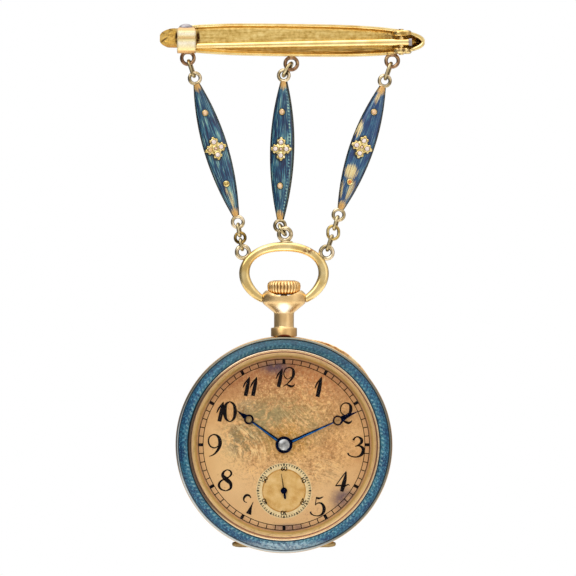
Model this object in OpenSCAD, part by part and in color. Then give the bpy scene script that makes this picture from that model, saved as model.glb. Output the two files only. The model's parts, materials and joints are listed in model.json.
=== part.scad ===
// Pendant watch hanging by three enamelled panels from a bar brooch, shown from the brooch's pin side.
// X runs to the right, Z up, and the dial faces -Y. The origin is the middle of the bar's back.

/* [Brooch bar] */
// Length of the bar
bar_length = 40.9; // [40:0.1:42]
// Height of the bar at its middle
bar_height = 5; // [4.8:0.1:5.4]
// Depth of the hollow bar from its rim to its front
bar_depth = 2.3; // [2:0.1:3]
// Thickness of the bar's rim
bar_rim = 0.4; // [0.3:0.05:0.5]
// Diameter of the pin at its hinge
pin_d = 1.2; // [1:0.05:1.3]

/* [Panels] */
// Width of an enamelled panel
panel_width = 3.78; // [3.6:0.05:4]
// Thickness of a panel's gold plate
plate_t = 0.5; // [0.4:0.05:0.6]
// Height of the enamel's crown over its edge
enamel_rise = 0.35; // [0.2:0.05:0.45]
// Girdle diameter of a petal stone
stone_d = 0.7; // [0.6:0.02:0.74]
// Diameter of a seed pearl
pearl_d = 0.72; // [0.6:0.02:0.74]

/* [Links] */
// Thickness of the links' wire
link_wire = 0.46; // [0.4:0.02:0.48]

/* [Bow] */
// Width of the oval bow
bow_width = 13.5; // [13.4:0.1:13.8]
// Thickness of the bow's band across the oval
bow_band = 1.5; // [1.3:0.05:1.55]
// Thickness of the bow from front to back
bow_t = 1.3; // [1.1:0.05:1.5]

/* [Watch] */
// Diameter of the case
case_d = 33.4; // [33:0.1:33.6]
// Diameter of the dial that shows
dial_d = 26.6; // [26:0.1:27]
// Diameter of the winding crown
crown_d = 5.17; // [4.8:0.1:5.4]
// Number of flutes on the crown
crown_flutes = 28; // [20:1:36]
// Distance from the dial's centre to the seconds dial's centre
seconds_drop = 7.08; // [6.9:0.05:7.3]

/* [Hands] */
// Length of the hour hand
hour_length = 8.92; // [8.5:0.1:9.2]
// Length of the minute hand
minute_length = 12.55; // [12:0.1:12.7]
// Turn of the hour hand from twelve, clockwise
hour_turn = 305.9; // [0:1:359]
// Turn of the minute hand from twelve, clockwise
minute_turn = 65.7; // [0:1:359]
// Turn of the seconds hand from sixty, clockwise
seconds_turn = 351.1; // [0:1:359]

/* [Hidden] */
SIDES = ["left", "centre", "right"];
STONES = [1, 2, 3, 4, 5];

$fn = 48;
gap = 0.04; // between pieces that are set into each other
play = 0.05; // radial clearance of a shaft in its bore

gold = [0.83, 0.67, 0.36];
dull_gold = [0.72, 0.64, 0.44];
enamel_blue = [0.16, 0.41, 0.58];
blued_steel = [0.08, 0.16, 0.36];

// Bar: the middle of its outline lies to the right of the origin
bar_mid_x = 1.28;
bar_lean = 0.8;
bar_back_y = -0.9;
bar_front_y = bar_back_y + bar_depth;
bar_floor_y = 0.65;

// Columns of an eye's row: place, and the radius and wire of its ring
EYE_X = 0;
EYE_Z = 1;
bar_eye_ring = 0.945;
bar_eye_wire = 0.57;
bar_eyes = [[-14.82, -2.76], [1.13, -3.61], [16.68, -3.16]];

// Catch and hinge of the pin
pin_y = -1.15;
pin_hinge_x = 18.04;
pin_hinge_z = -0.34;
pin_tip_x = -15.9;
pin_tail = 1.65; // how far the pin's butt stands past its hinge
pin_catch_z = -0.96;
catch_x = [-16.45, -13.57];
catch_t = 0.32;
catch_top_z = 2.2;
catch_inner_r = 0.78;
lug_x = [17.15, 18.95];
lug_top_z = [0.56, 1.5];
lug_bottom_z = [-2.1, -1.2];
rivet_d = 0.44;

// Panels: where the top ring hangs, its depth, how far the panel leans from the vertical towards +X going
// down, how far it is turned on its length, and the distances from its flower to the two rings
TOP_X = 0;
TOP_Z = 1;
DEPTH = 2;
LEAN = 3;
TURN = 4;
UP = 5;
DOWN = 6;
panels = [
    [-13.74, -5.87, 0, 16.66, 0, 11.29, 11.84],
    [-0.03, -5.41, 0.7, -1.45, -14, 11.35, 11.84],
    [15.53, -6.26, 0, -19, 0, 10.8, 11.04]
];
panel_ring = 0.89;
panel_wire = 0.48;
panel_end_width = 0.95;
petal_along = 1.02;
petal_across = 0.86;
petal_d = 0.94;
pearl_offset = 5.7;
cup_d = 0.92;
setting_rise = 0.14;
seat_depth = 0.3;

// Bow: half its outline over and under its widest line, and the rings of its three eyes
bow_z = -36;
bow_rise = 4.2;
bow_pivot_z = -39.8;
bow_end_x = 3.8;
bow_end_band = 1.2;
bow_pivot_d = 0.9;
bow_boss_d = 1.38;
bow_eye_ring = 0.957;
bow_eye_wire = 0.6;
bow_eyes = [[-6.34, -32.66], [0.15, -29.91], [6.57, -32.72]];

// Rings of the two side chains: place, and half their inner width and height at the wire's middle
left_ring_at = [-6.75, -30.45];
left_ring_size = [0.77, 0.77];
right_ring_at = [7.59, -29.65];
right_ring_size = [0.84, 1.02];

// Pendant: a lathe profile up the watch's axis
cup_r = 3.41;
cup_z = [-40.5, -39.26];
shoulder_z = -38.55;
scallop_r = 4.07;
scallop_z = -39.41;
neck_r = 1.53;
neck_z = [-43.98, -41.94];
collar_r = 2.01;
collar_z = [-45.5, -44.32];
stub_r = 1.55;
stem_r = 0.5;
stem_bottom_z = -44.9;
crown_z = [-39.3, -37];
// The crown's outline: height from its bottom to its top, and half its width, both as shares of the whole
crown_shape = [[0, 0.62], [0.07, 0.8], [0.35, 0.98], [0.7, 1], [0.9, 0.88], [1, 0.62]];

// Watch: heights over the case's middle plane, positive towards the dial
watch_z = -62.34;
case_r = case_d / 2;
dial_r = dial_d / 2;
band_h = 1.7;
band_inner_r = case_r - 2;
enamel_r = [14.8, 16.26];
dial_z = 1.35;
dial_t = 0.35;
seconds_r = 3.32;
seconds_sink = 0.1;
crystal_z = 2.75;
crystal_r = 14.3;
crystal_t = 0.3;
crystal_rise = 0.9;
back_rise = 2.2;
back_t = 0.45;
case_hinge_y = -15.4;
case_hinge_z = -1.8;
knuckle_r = 0.5;
knuckle_x = [4.95, 8];
knuckle_gap = 0.06;
case_pin_r = 0.2;
back_cut_y = -14.75;
lip_r = 12;
lip_reach = 17.1;
lip_turn = 33; // clockwise from twelve

// Hands: their heights over the case's middle plane
seconds_hand_z = 1.44;
hour_hand_z = 1.6;
minute_hand_z = 1.82;
hand_t = 0.1;
arbor_r = 0.4;
seconds_arbor_r = 0.12;

// Direction from point a to point b in the XZ plane, and a point along it
function way(a, b) = (b - a) / norm(b - a);
function along(a, b, far) = a + way(a, b) * far;
function tilt(a, b) = atan2(b[0] - a[0], b[1] - a[1]);

function ring_up(p) = [p[TOP_X], p[TOP_Z]];
function panel_way(p) = [sin(p[LEAN]), -cos(p[LEAN])];
function flower_at(p) = ring_up(p) + panel_way(p) * p[UP];
function ring_down(p) = ring_up(p) + panel_way(p) * (p[UP] + p[DOWN]);

// Points on an arc of a circle, from one angle to another
function arc(centre, r, from, to, steps) =
    [for (i = [0:steps])
        let (a = from + (to - from) * i / steps)
        centre + r * [cos(a), sin(a)]];

module at(p, depth = 0) translate([p[0], depth, p[1]]) children();

// A round ring that faces the viewer
module facing_ring(ring_r, wire) {
    rotate([90, 0, 0]) rotate_extrude() translate([ring_r, 0]) circle(d = wire, $fn = 8);
}

// A wire swept along a plane line in XZ. Each stop is [middle, outward direction, width]; its thickness is
// the wire's size along Y. A closed wire joins its last stop to its first.
function wire_section(stop, thick, sides) =
    [for (k = [0:sides - 1])
        let (q = 360 * k / sides, r = stop[2] / 2 * cos(q))
        [stop[0][0] + stop[1][0] * r, thick / 2 * sin(q), stop[0][1] + stop[1][1] * r]];

module swept_wire(stops, thick, sides, closed) {
    count = len(stops);
    points = [for (s = stops) each wire_section(s, thick, sides)];
    walls = [for (i = [0:count - (closed ? 1 : 2)], k = [0:sides - 1])
        let (here = i * sides, next = ((i + 1) % count) * sides, beside = (k + 1) % sides)
        [here + k, next + k, next + beside, here + beside]];
    caps = closed ? [] : [[for (k = [0:sides - 1]) k], [for (k = [sides - 1:-1:0]) (count - 1) * sides + k]];
    polyhedron(points, concat(walls, caps));
}

// An oval wire link in the XZ plane, with its length up Z, measured at the wire's middle
module oval_link(length, width, wire) {
    turns = 16;
    straight = (length - width) / 2;
    stops = [for (i = [0:turns - 1])
        let (a = 360 * (i + 0.5) / turns, out = [cos(a), sin(a)])
        [out * width / 2 + [0, sin(a) > 0 ? straight : -straight], out, wire]];
    swept_wire(stops, wire, 6, true);
}

// A link seen edge on that hangs between two places of the XZ plane
module hung_link(a, b, width, depth = 0, wire = link_wire) {
    at((a + b) / 2, depth) rotate([0, tilt(b, a), 0]) rotate([0, 0, 90]) oval_link(norm(a - b), width, wire);
}

// Half the bar's height, at t from -1 to 1 along it
function bar_half(t) = bar_height / 2 * pow(1 - pow(abs(t), 3), 0.4);
bar_steps = 15;
function bar_t(i) = sin(90 * i / bar_steps) * 0.998;

// The bar's outline in the XZ plane, made smaller all round by the given inset
module bar_outline(inset = 0) {
    half = bar_length / 2;
    edge = [for (i = [-bar_steps:bar_steps])
        let (t = bar_t(i))
        [t * (half - inset), max(bar_half(t) - inset, 0.1)]];
    translate([bar_mid_x, 0])
        rotate(-bar_lean)
            polygon(concat(edge, [for (i = [len(edge) - 1:-1:0]) [edge[i][0], -edge[i][1]]]));
}

function bar_bottom(x) = -bar_half((x - bar_mid_x) / (bar_length / 2)) - (x - bar_mid_x) * tan(bar_lean);

module slab(from_y, to_y) translate([0, to_y, 0]) rotate([90, 0, 0]) linear_extrude(to_y - from_y) children();

module bar_shell() {
    side_y = bar_front_y - 0.9;
    difference() {
        hull() {
            slab(bar_back_y, side_y) bar_outline();
            slab(side_y, side_y + 0.45) bar_outline(0.35);
            slab(side_y + 0.45, bar_front_y) bar_outline(1.2);
        }
        slab(bar_back_y - 1, bar_floor_y) bar_outline(bar_rim);
    }
}

// A strap from the bar's upper rim down over the pin, curled round it and open below
module catch() {
    outer = catch_inner_r + catch_t;
    bend = [pin_y, pin_catch_z];
    inside = arc(bend, catch_inner_r, 180, 290, 8);
    outside = arc(bend, outer, 290, 180, 8);
    root_y = bar_floor_y + 0.2;
    strap = concat(
        inside,
        outside,
        [[pin_y - outer, catch_top_z - 0.5], [pin_y - outer + 0.5, catch_top_z], [root_y, catch_top_z]],
        [[root_y, catch_top_z - catch_t], [pin_y - catch_inner_r + 0.5, catch_top_z - catch_t]],
        [[pin_y - catch_inner_r, catch_top_z - catch_t - 0.5]]
    );
    translate([catch_x[0], 0, 0])
        rotate([90, 0, 90])
            linear_extrude(catch_x[1] - catch_x[0])
                polygon(strap);
}

module hinge_lugs() {
    front_y = pin_y - 0.75;
    for (lug = [lug_top_z, lug_bottom_z])
        difference() {
            union() {
                translate([lug_x[0], pin_y, lug[0]])
                    cube([lug_x[1] - lug_x[0], bar_floor_y + 0.2 - pin_y, lug[1] - lug[0]]);
                translate([pin_hinge_x, pin_y, lug[0]]) cylinder(r = pin_y - front_y, h = lug[1] - lug[0]);
            }
            translate([pin_hinge_x, pin_y, lug[0] - 1]) cylinder(d = rivet_d + 2 * play, h = 3);
        }
}

module brooch_bar() color(gold) {
    bar_shell();
    catch();
    hinge_lugs();
    for (eye = bar_eyes)
        at(eye) {
            facing_ring(bar_eye_ring, bar_eye_wire);
            translate([0, 0, bar_eye_ring])
                cylinder(d = 1, h = bar_bottom(eye[EYE_X]) + 0.2 - eye[EYE_Z] - bar_eye_ring);
        }
}

module hinge_rivet() color(dull_gold) {
    head = 0.16;
    translate([pin_hinge_x, pin_y, lug_bottom_z[0] - gap])
        cylinder(d = rivet_d, h = lug_top_z[1] - lug_bottom_z[0] + 2 * gap);
    for (z = [lug_bottom_z[0] - gap - head, lug_top_z[1] + gap])
        translate([pin_hinge_x, pin_y, z]) cylinder(d = rivet_d + 0.3, h = head);
}

module pin_stem() color(gold) {
    tip_r = 0.42;
    point = 1.4;
    boss_r = 0.75;
    pin_sides = 12;
    to = [pin_tip_x, pin_catch_z];
    from = along([pin_hinge_x, pin_hinge_z], to, -pin_tail);
    difference() {
        union() {
            translate([pin_hinge_x, pin_y, lug_bottom_z[1] + gap])
                cylinder(r = boss_r, h = lug_top_z[0] - lug_bottom_z[1] - 2 * gap);
            at(from, pin_y) rotate([0, tilt(from, to), 0]) {
                cylinder(d1 = pin_d, d2 = 2 * tip_r, h = norm(to - from) - point, $fn = pin_sides);
                translate([0, 0, norm(to - from) - point])
                    cylinder(r1 = tip_r, r2 = 0.08, h = point, $fn = pin_sides);
            }
        }
        translate([pin_hinge_x, pin_y, -3]) cylinder(d = rivet_d + 2 * play, h = 6);
    }
}

// Half the width of a panel at a distance from its flower, where its rim stands in by the inset
function panel_half(s, reach, inset) =
    panel_width / 2 - (panel_width - panel_end_width) / 2 * pow(s / reach, 2) - inset;

module panel_outline(p, inset = 0) {
    steps = 8;
    top = p[UP] - panel_ring;
    bottom = p[DOWN] - panel_ring;
    edge = concat(
        [for (i = [-steps:0]) [panel_half(i / steps * bottom, bottom, inset), i / steps * (bottom - inset)]],
        [for (i = [1:steps]) [panel_half(i / steps * top, top, inset), i / steps * (top - inset)]]
    );
    polygon(concat(edge, [for (i = [len(edge) - 1:-1:0]) [-edge[i][0], edge[i][1]]]));
}

// Puts a panel's own frame, with its flower at the origin and its length up Z, in its place
module hang(p) {
    at(flower_at(p), p[DEPTH]) rotate([0, -p[LEAN], 0]) rotate([0, 0, p[TURN]]) children();
}

plate_y = [-0.05, plate_t - 0.05];
enamel_y = plate_y[0] - gap;
enamel_edge = 0.12;
enamel_top_y = enamel_y - enamel_edge - enamel_rise;
setting_y = enamel_top_y - setting_rise;
petals = [[0, petal_along], [petal_across, 0], [0, -petal_along], [-petal_across, 0]];
petal_points = [[0, 1.8], [1.42, 0], [0, -1.8], [-1.42, 0]];

// The flower's outline: four pointed petals round a middle boss, grown by the clearance
module flower_outline(grow = 0) {
    for (i = [0:3]) {
        side = [petals[i][1], -petals[i][0]] / norm(petals[i]) * 0.3;
        translate(petals[i]) circle(d = petal_d + 2 * grow);
        polygon([petals[i] + side, petals[i] - side, petal_points[i] + way([0, 0], petals[i]) * grow]);
    }
    circle(d = 1 + 2 * grow);
}

module cup_outlines(grow = 0) {
    for (s = [-1, 1])
        translate([0, s * pearl_offset]) circle(d = cup_d + 2 * grow);
}

module stone_seats() {
    for (i = [0:4]) {
        place = i < 4 ? petals[i] : [0, 0];
        width = i < 4 ? stone_d : 0.4;
        translate([place[0], setting_y - 1, place[1]])
            rotate([-90, 0, 0])
                cylinder(d = width + 2 * gap, h = 1 + seat_depth);
    }
    for (s = [-1, 1])
        translate([0, setting_y - 1, s * pearl_offset])
            rotate([-90, 0, 0])
                cylinder(d = pearl_d + 2 * gap, h = 1.3);
}

module panel(p) color(gold) hang(p) {
    slab(plate_y[0], plate_y[1]) panel_outline(p);
    difference() {
        slab(setting_y, plate_y[0] + 0.1) {
            flower_outline();
            cup_outlines();
        }
        stone_seats();
    }
    for (z = [p[UP], -p[DOWN]])
        translate([0, 0, z]) facing_ring(panel_ring, panel_wire);
}

module panel_enamel(p) color(enamel_blue) hang(p) {
    difference() {
        hull() {
            slab(enamel_y - enamel_edge, enamel_y) panel_outline(p, 0.12);
            slab(enamel_y - enamel_edge - enamel_rise * 0.7, enamel_y) panel_outline(p, 0.45);
            slab(enamel_top_y, enamel_y) scale(0.45) panel_outline(p, 0.45);
        }
        slab(setting_y - 1, plate_y[0] + 1) {
            flower_outline(gap);
            cup_outlines(gap);
        }
    }
}

// A brilliant seen from its table, with eight facets round the table and eight below the girdle
module cut_stone(d) {
    r = d / 2;
    rotate([90, 0, 0])
        rotate_extrude($fn = 8)
            polygon([[0, -0.5 * r], [r, 0], [r, 0.12 * r], [0.58 * r, 0.5 * r], [0, 0.5 * r]]);
}

module stone(p, i) {
    place = i < 5 ? petals[i - 1] : [0, 0];
    color("white")
        hang(p)
            translate([place[0], setting_y + 0.02, place[1]])
                cut_stone(i < 5 ? stone_d : 0.4);
}

module pearl(p, side) {
    color([0.95, 0.88, 0.78])
        hang(p)
            translate([0, setting_y + 0.02, side * pearl_offset])
                sphere(d = pearl_d);
}

// How far the wire's middle of a link lies from the middle of the ring that holds it
function seat(ring_r, ring_wire) = ring_r - (ring_wire + link_wire) / 2 - 0.03;
bar_seat = seat(bar_eye_ring, bar_eye_wire);
panel_seat = seat(panel_ring, panel_wire);
bow_seat = seat(bow_eye_ring, bow_eye_wire);
link_width = 1.24;

// A link between two rings, whose wire lies as far inside each as its seat
module link_between(a, a_seat, b, b_seat) color(dull_gold) {
    hung_link(along(a, b, a_seat), along(b, a, b_seat), link_width);
}

module upper_link(i) {
    eye = bar_eyes[i];
    ring = ring_up(panels[i]);
    if (i == 1)
        color(dull_gold) hung_link(along(eye, ring, -0.12), along(ring, eye, -0.12), 1.9, 0.33);
    else
        link_between(eye, bar_seat, ring, panel_seat);
}

module face_ring(place, size) color(dull_gold) {
    at(place) oval_link(2 * size[1], 2 * size[0], link_wire);
}

left_seat = left_ring_size[1] - link_wire - 0.03;
right_seat = right_ring_size[1] - link_wire - 0.03;

module left_link_upper() link_between(ring_down(panels[0]), panel_seat, left_ring_at, left_seat);
module left_ring() face_ring(left_ring_at, left_ring_size);
module left_link_lower() link_between(left_ring_at, left_seat, bow_eyes[0], bow_seat);
module centre_link() color(dull_gold) {
    ring = ring_down(panels[1]);
    eye = bow_eyes[1];
    hung_link(along(ring, eye, -0.15), along(eye, ring, -0.12), 1.82, 0.32);
}
module right_link_upper() link_between(ring_down(panels[2]), panel_seat, right_ring_at, right_seat);
module right_ring() face_ring(right_ring_at, right_ring_size);
module right_link_lower() link_between(right_ring_at, right_seat, bow_eyes[2], bow_seat);

// The bow's middle line, from its right end over the top to its left end, by the angle at its middle
bow_a = (bow_width - bow_band) / 2;
bow_fall = (bow_z - bow_pivot_z) / sqrt(1 - pow(bow_end_x / bow_a, 2));
bow_end_angle = acos(bow_end_x / bow_a);
bow_steps = 32;
function bow_angle(i) = -bow_end_angle + (180 + 2 * bow_end_angle) * i / bow_steps;
function bow_point(t) = [bow_a * cos(t), bow_z + (t < 0 || t > 180 ? bow_fall : bow_rise) * sin(t)];
function bow_tangent(t) = way(bow_point(t - 0.5), bow_point(t + 0.5));
function bow_section(t) = t < 0 ? bow_band + (bow_end_band - bow_band) * (-t / bow_end_angle)
    : t > 180 ? bow_band + (bow_end_band - bow_band) * ((t - 180) / bow_end_angle) : bow_band;
module bow_hoop() {
    stops = [for (i = [0:bow_steps])
        let (t = bow_angle(i), w = bow_tangent(t))
        [bow_point(t), [w[1], -w[0]], bow_section(t)]];
    swept_wire(stops, bow_t, 12, false);
}

module bow() color(gold) {
    inner_x = cup_r + 0.07;
    bow_hoop();
    for (side = [0, 1])
        mirror([side, 0, 0]) {
            translate([inner_x, 0, bow_pivot_z]) rotate([0, 90, 0]) cylinder(d = bow_boss_d, h = 0.9);
            translate([inner_x - 0.9, 0, bow_pivot_z]) rotate([0, 90, 0]) cylinder(d = bow_pivot_d, h = 1.2);
        }
    for (eye = bow_eyes)
        at(eye) facing_ring(bow_eye_ring, bow_eye_wire);
}

// The dial's own frame: X to the right, Y up and Z towards the viewer, with the case's middle at the origin
module dial_frame() translate([0, 0, watch_z]) rotate([90, 0, 0]) children();

// The pendant as turned: stub, collar, neck, cone and cup, and the bores for the stem and the bow
module pendant() {
    root_z = watch_z + band_inner_r + 0.5;
    crown_r = crown_d / 2;
    profile = [
        [0, root_z], [stub_r, root_z], [stub_r, collar_z[0]],
        [collar_r, collar_z[0]], [collar_r, collar_z[1]], [neck_r, neck_z[0]], [neck_r, neck_z[1]],
        [cup_r, cup_z[0]], [cup_r, cup_z[1]],
        [crown_r + 0.14, shoulder_z], [crown_r + 0.07, shoulder_z - 0.04],
        [crown_r * 0.92 + 0.08, shoulder_z - 0.5],
        [crown_r * 0.6 + 0.1, crown_z[0] - 0.1], [0, crown_z[0] - 0.1]
    ];
    difference() {
        rotate_extrude() polygon(profile);
        translate([0, 0, scallop_z + scallop_r])
            rotate([90, 0, 0])
                cylinder(r = scallop_r, h = 9, center = true);
        translate([0, 0, stem_bottom_z - 0.1]) cylinder(r = stem_r + play, h = 9);
        for (side = [0, 1])
            mirror([side, 0, 0])
                translate([cup_r - 0.95, 0, bow_pivot_z])
                    rotate([0, 90, 0])
                        cylinder(d = bow_pivot_d + 2 * play, h = 2);
    }
}

module knuckle(from_x, to_x, r = knuckle_r) {
    translate([from_x, case_hinge_y, case_hinge_z]) rotate([0, 90, 0]) cylinder(r = r, h = to_x - from_x);
}

module case_band() color(gold) {
    rim_r = case_r - 0.2;
    outer = [[rim_r, -band_h], [case_r, -band_h + 0.5], [case_r, band_h - 0.5], [rim_r, band_h]];
    pendant();
    dial_frame()
        difference() {
            union() {
                rotate_extrude() polygon(concat([[band_inner_r, band_h], [band_inner_r, -band_h]], outer));
                for (side = [0, 1])
                    mirror([side, 0, 0]) knuckle(knuckle_x[0], knuckle_x[1]);
            }
            knuckle(-knuckle_x[0], knuckle_x[0], knuckle_r + knuckle_gap);
            knuckle(-9, 9, case_pin_r + play);
        }
}

module hinge_pin() color(dull_gold) dial_frame() {
    knuckle(-knuckle_x[1] + 0.05, knuckle_x[1] - 0.05, case_pin_r);
}

// Height of the back over its rim, r from the middle
function back_height(r) = back_rise * (1 - pow(r / (case_r - 0.1), 2));

// A crescent that stands out past the case, where a thumb nail opens the back
module thumb_lip(from_z, thick) {
    rotate([0, 0, -lip_turn])
        difference() {
            translate([0, lip_reach - lip_r, from_z]) cylinder(r = lip_r, h = thick);
            translate([0, 0, from_z - 1]) cylinder(r = case_r - 0.4, h = thick + 2);
        }
}

module back_cover() color(gold) dial_frame() {
    rim_z = -band_h - 0.08;
    steps = 8;
    rim_r = case_r - 0.1;
    inner_r = rim_r - 0.9;
    dome = [for (i = [0:steps])
        let (r = rim_r * (1 - i / steps))
        [r, rim_z - 0.4 - back_height(r)]];
    hollow = [for (i = [steps:-1:0])
        let (r = inner_r * (1 - i / steps))
        [r, rim_z - 0.4 + back_t - back_height(r)]];
    difference() {
        union() {
            difference() {
                rotate_extrude() polygon(concat([[rim_r, rim_z]], dome, hollow, [[inner_r, rim_z]]));
                translate([-20, back_cut_y - 10, -10]) cube([40, 10, 20]);
            }
            thumb_lip(rim_z - 0.4, 0.4);
            knuckle(-knuckle_x[0] + knuckle_gap, knuckle_x[0] - knuckle_gap);
            translate([-knuckle_x[0] + knuckle_gap, case_hinge_y, case_hinge_z - knuckle_r])
                cube([2 * (knuckle_x[0] - knuckle_gap), back_cut_y - case_hinge_y + 0.4, knuckle_r]);
        }
        knuckle(-9, 9, case_pin_r + play);
    }
}

bezel_floor = [3.05, 2.25];
bezel_crest_z = 3.5;

module bezel() color(gold) dial_frame() {
    outer_r = case_r - 0.1;
    skirt_r = band_inner_r - 0.1;
    rotate_extrude()
        polygon([
            [dial_r, 1.42], [dial_r + 0.55, crystal_z - 0.05], [crystal_r + 0.05, crystal_z - 0.05],
            [crystal_r + 0.05, bezel_crest_z - 0.25], [crystal_r + 0.18, bezel_crest_z],
            [enamel_r[0] - 0.06, bezel_crest_z], [enamel_r[0], bezel_crest_z - 0.12],
            [enamel_r[0], bezel_floor[0]], [enamel_r[1], bezel_floor[1]],
            [enamel_r[1], bezel_floor[1] + 0.36], [outer_r, bezel_floor[1] + 0.3],
            [outer_r, band_h + 0.05], [skirt_r, band_h + 0.05], [skirt_r, 1.42]
        ]);
}

module bezel_enamel() color(enamel_blue) dial_frame() {
    low = enamel_r[0] + gap;
    high = enamel_r[1] - gap;
    rotate_extrude()
        polygon([
            [low, bezel_floor[0] + gap], [low, bezel_crest_z - 0.1], [low + 0.4, bezel_crest_z - 0.14],
            [high - 0.4, bezel_floor[1] + 0.66], [high, bezel_floor[1] + 0.38], [high, bezel_floor[1] + gap]
        ]);
}

// Height of the crystal's outside over its edge, r from the middle
function crystal_height(r) = crystal_rise * (1 - pow(r / crystal_r, 2));

module crystal() color([0.85, 0.92, 0.95, 0.3]) dial_frame() {
    steps = 6;
    inner_r = crystal_r - 0.3;
    outside = [for (i = [0:steps])
        let (r = crystal_r * (1 - i / steps))
        [r, crystal_z + crystal_t + crystal_height(r)]];
    inside = [for (i = [steps:-1:0])
        let (r = inner_r * (1 - i / steps))
        [r, crystal_z + crystal_height(r)]];
    rotate_extrude() polygon(concat([[crystal_r, crystal_z]], outside, inside, [[inner_r, crystal_z]]));
}

module dial() color([0.88, 0.72, 0.48]) dial_frame() {
    difference() {
        translate([0, 0, dial_z - dial_t]) cylinder(r = band_inner_r - 0.2, h = dial_t);
        translate([0, -seconds_drop, dial_z - seconds_sink]) cylinder(r = seconds_r, h = 1);
        cylinder(r = arbor_r + play, h = 3);
        translate([0, -seconds_drop, 0]) cylinder(r = seconds_arbor_r + 0.04, h = 3);
    }
}

module movement() color(dull_gold) dial_frame() {
    translate([0, 0, -band_h + 0.1])
        cylinder(r = band_inner_r - 0.1, h = dial_z - dial_t - gap + band_h - 0.1);
}

module winding_stem() color("silver") {
    translate([0, 0, stem_bottom_z]) cylinder(r = stem_r, h = crown_z[1] - 0.8 - stem_bottom_z);
}

// The crown's fluted outline at a half width r: a ridge and a hollow for each flute
flute_depth = 0.13;
function crown_ring(r, z) =
    [for (i = [0:2 * crown_flutes - 1])
        let (a = 180 * i / crown_flutes, far = r - flute_depth * (i % 2))
        [far * cos(a), far * sin(a), z]];

module crown_body() {
    around = 2 * crown_flutes;
    rings = len(crown_shape);
    height = crown_z[1] - crown_z[0];
    points = [for (c = crown_shape) each crown_ring(c[1] * crown_d / 2, crown_z[0] + c[0] * height)];
    walls = [for (i = [0:rings - 2], k = [0:around - 1])
        let (beside = (k + 1) % around)
        [i * around + k, (i + 1) * around + k, (i + 1) * around + beside, i * around + beside]];
    caps = [[for (k = [0:around - 1]) k], [for (k = [around - 1:-1:0]) (rings - 1) * around + k]];
    polyhedron(points, concat(walls, caps));
}

module crown() color([0.86, 0.66, 0.48]) {
    difference() {
        crown_body();
        translate([0, 0, crown_z[0] - 1]) cylinder(r = stem_r + play, h = crown_z[1] - 0.75 - crown_z[0] + 1);
    }
}

// A hand that points up Y: a tapered stem, an open ring, and a pointed tip
module ring_hand(length, ring_at, ring_r, hole_r, hub_r, root_w, neck_w) {
    foot = [ring_r * 0.75, ring_at + ring_r * 0.6];
    difference() {
        union() {
            circle(r = hub_r);
            polygon([[-root_w / 2, 0], [root_w / 2, 0], [neck_w / 2, ring_at], [-neck_w / 2, ring_at]]);
            translate([0, ring_at]) circle(r = ring_r);
            polygon([[-foot[0], foot[1]], foot, [0.04, length], [-0.04, length]]);
        }
        translate([0, ring_at]) circle(r = hole_r);
    }
}

module hour_hand() color(blued_steel) dial_frame() {
    rotate([0, 0, -hour_turn])
        difference() {
            translate([0, 0, hour_hand_z])
                linear_extrude(hand_t)
                    ring_hand(hour_length, 6.67, 0.76, 0.49, 1.2, 0.62, 0.42);
            cylinder(r = arbor_r + play, h = 3);
        }
}

module minute_hand() color(blued_steel) dial_frame() {
    rotate([0, 0, -minute_turn])
        translate([0, 0, minute_hand_z])
            linear_extrude(hand_t)
                ring_hand(minute_length, 9.1, 0.78, 0.53, 1.31, 0.5, 0.36);
    translate([0, 0, dial_z - dial_t + 0.05]) cylinder(r = arbor_r, h = minute_hand_z - dial_z + dial_t);
}

module hand_cap() color("silver") dial_frame() {
    translate([0, 0, minute_hand_z + hand_t + 0.02])
        rotate_extrude()
            polygon([[0, 0], [0.88, 0], [0.8, 0.16], [0.45, 0.3], [0, 0.34]]);
}

module seconds_hand() color(blued_steel) dial_frame() {
    needle = 2.68;
    tail = 1.32;
    translate([0, -seconds_drop, 0]) {
        rotate([0, 0, -seconds_turn])
            translate([0, 0, seconds_hand_z])
                linear_extrude(hand_t) {
                    circle(r = 0.5);
                    polygon([[-0.11, 0], [0.11, 0], [0.03, needle], [-0.03, needle]]);
                    polygon([[-0.09, 0], [0.09, 0], [0.16, -tail + 0.2], [-0.16, -tail + 0.2]]);
                    translate([0, -tail + 0.22]) circle(r = 0.22);
                }
        translate([0, 0, dial_z - dial_t + 0.05])
            cylinder(r = seconds_arbor_r, h = seconds_hand_z - dial_z + dial_t);
    }
}

brooch_bar();
hinge_rivet();
pin_stem();
for (i = [0:2]) {
    upper_link(i);
    panel(panels[i]);
    panel_enamel(panels[i]);
    for (k = STONES)
        stone(panels[i], k);
}
pearl(panels[0], 1);  // pearl_left_upper
pearl(panels[1], 1);  // pearl_centre_upper
pearl(panels[1], -1);  // pearl_centre_lower
pearl(panels[2], 1);  // pearl_right_upper
left_link_upper();
left_ring();
left_link_lower();
centre_link();
right_link_upper();
right_ring();
right_link_lower();
bow();
case_band();
bezel();
bezel_enamel();
crystal();
dial();
movement();
hinge_pin();
back_cover();
winding_stem();
crown();
hour_hand();
minute_hand();
hand_cap();
seconds_hand();
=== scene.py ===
"""Looks for the pendant watch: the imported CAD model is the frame, and each piece here is placed by its sizes.

Lengths are in millimetres until a mesh is made. The row frame is the CAD's: X right, Z up, dial facing -Y.
"""
import json
import math

import bmesh
import bpy
from mathutils import Matrix, Vector

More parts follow.
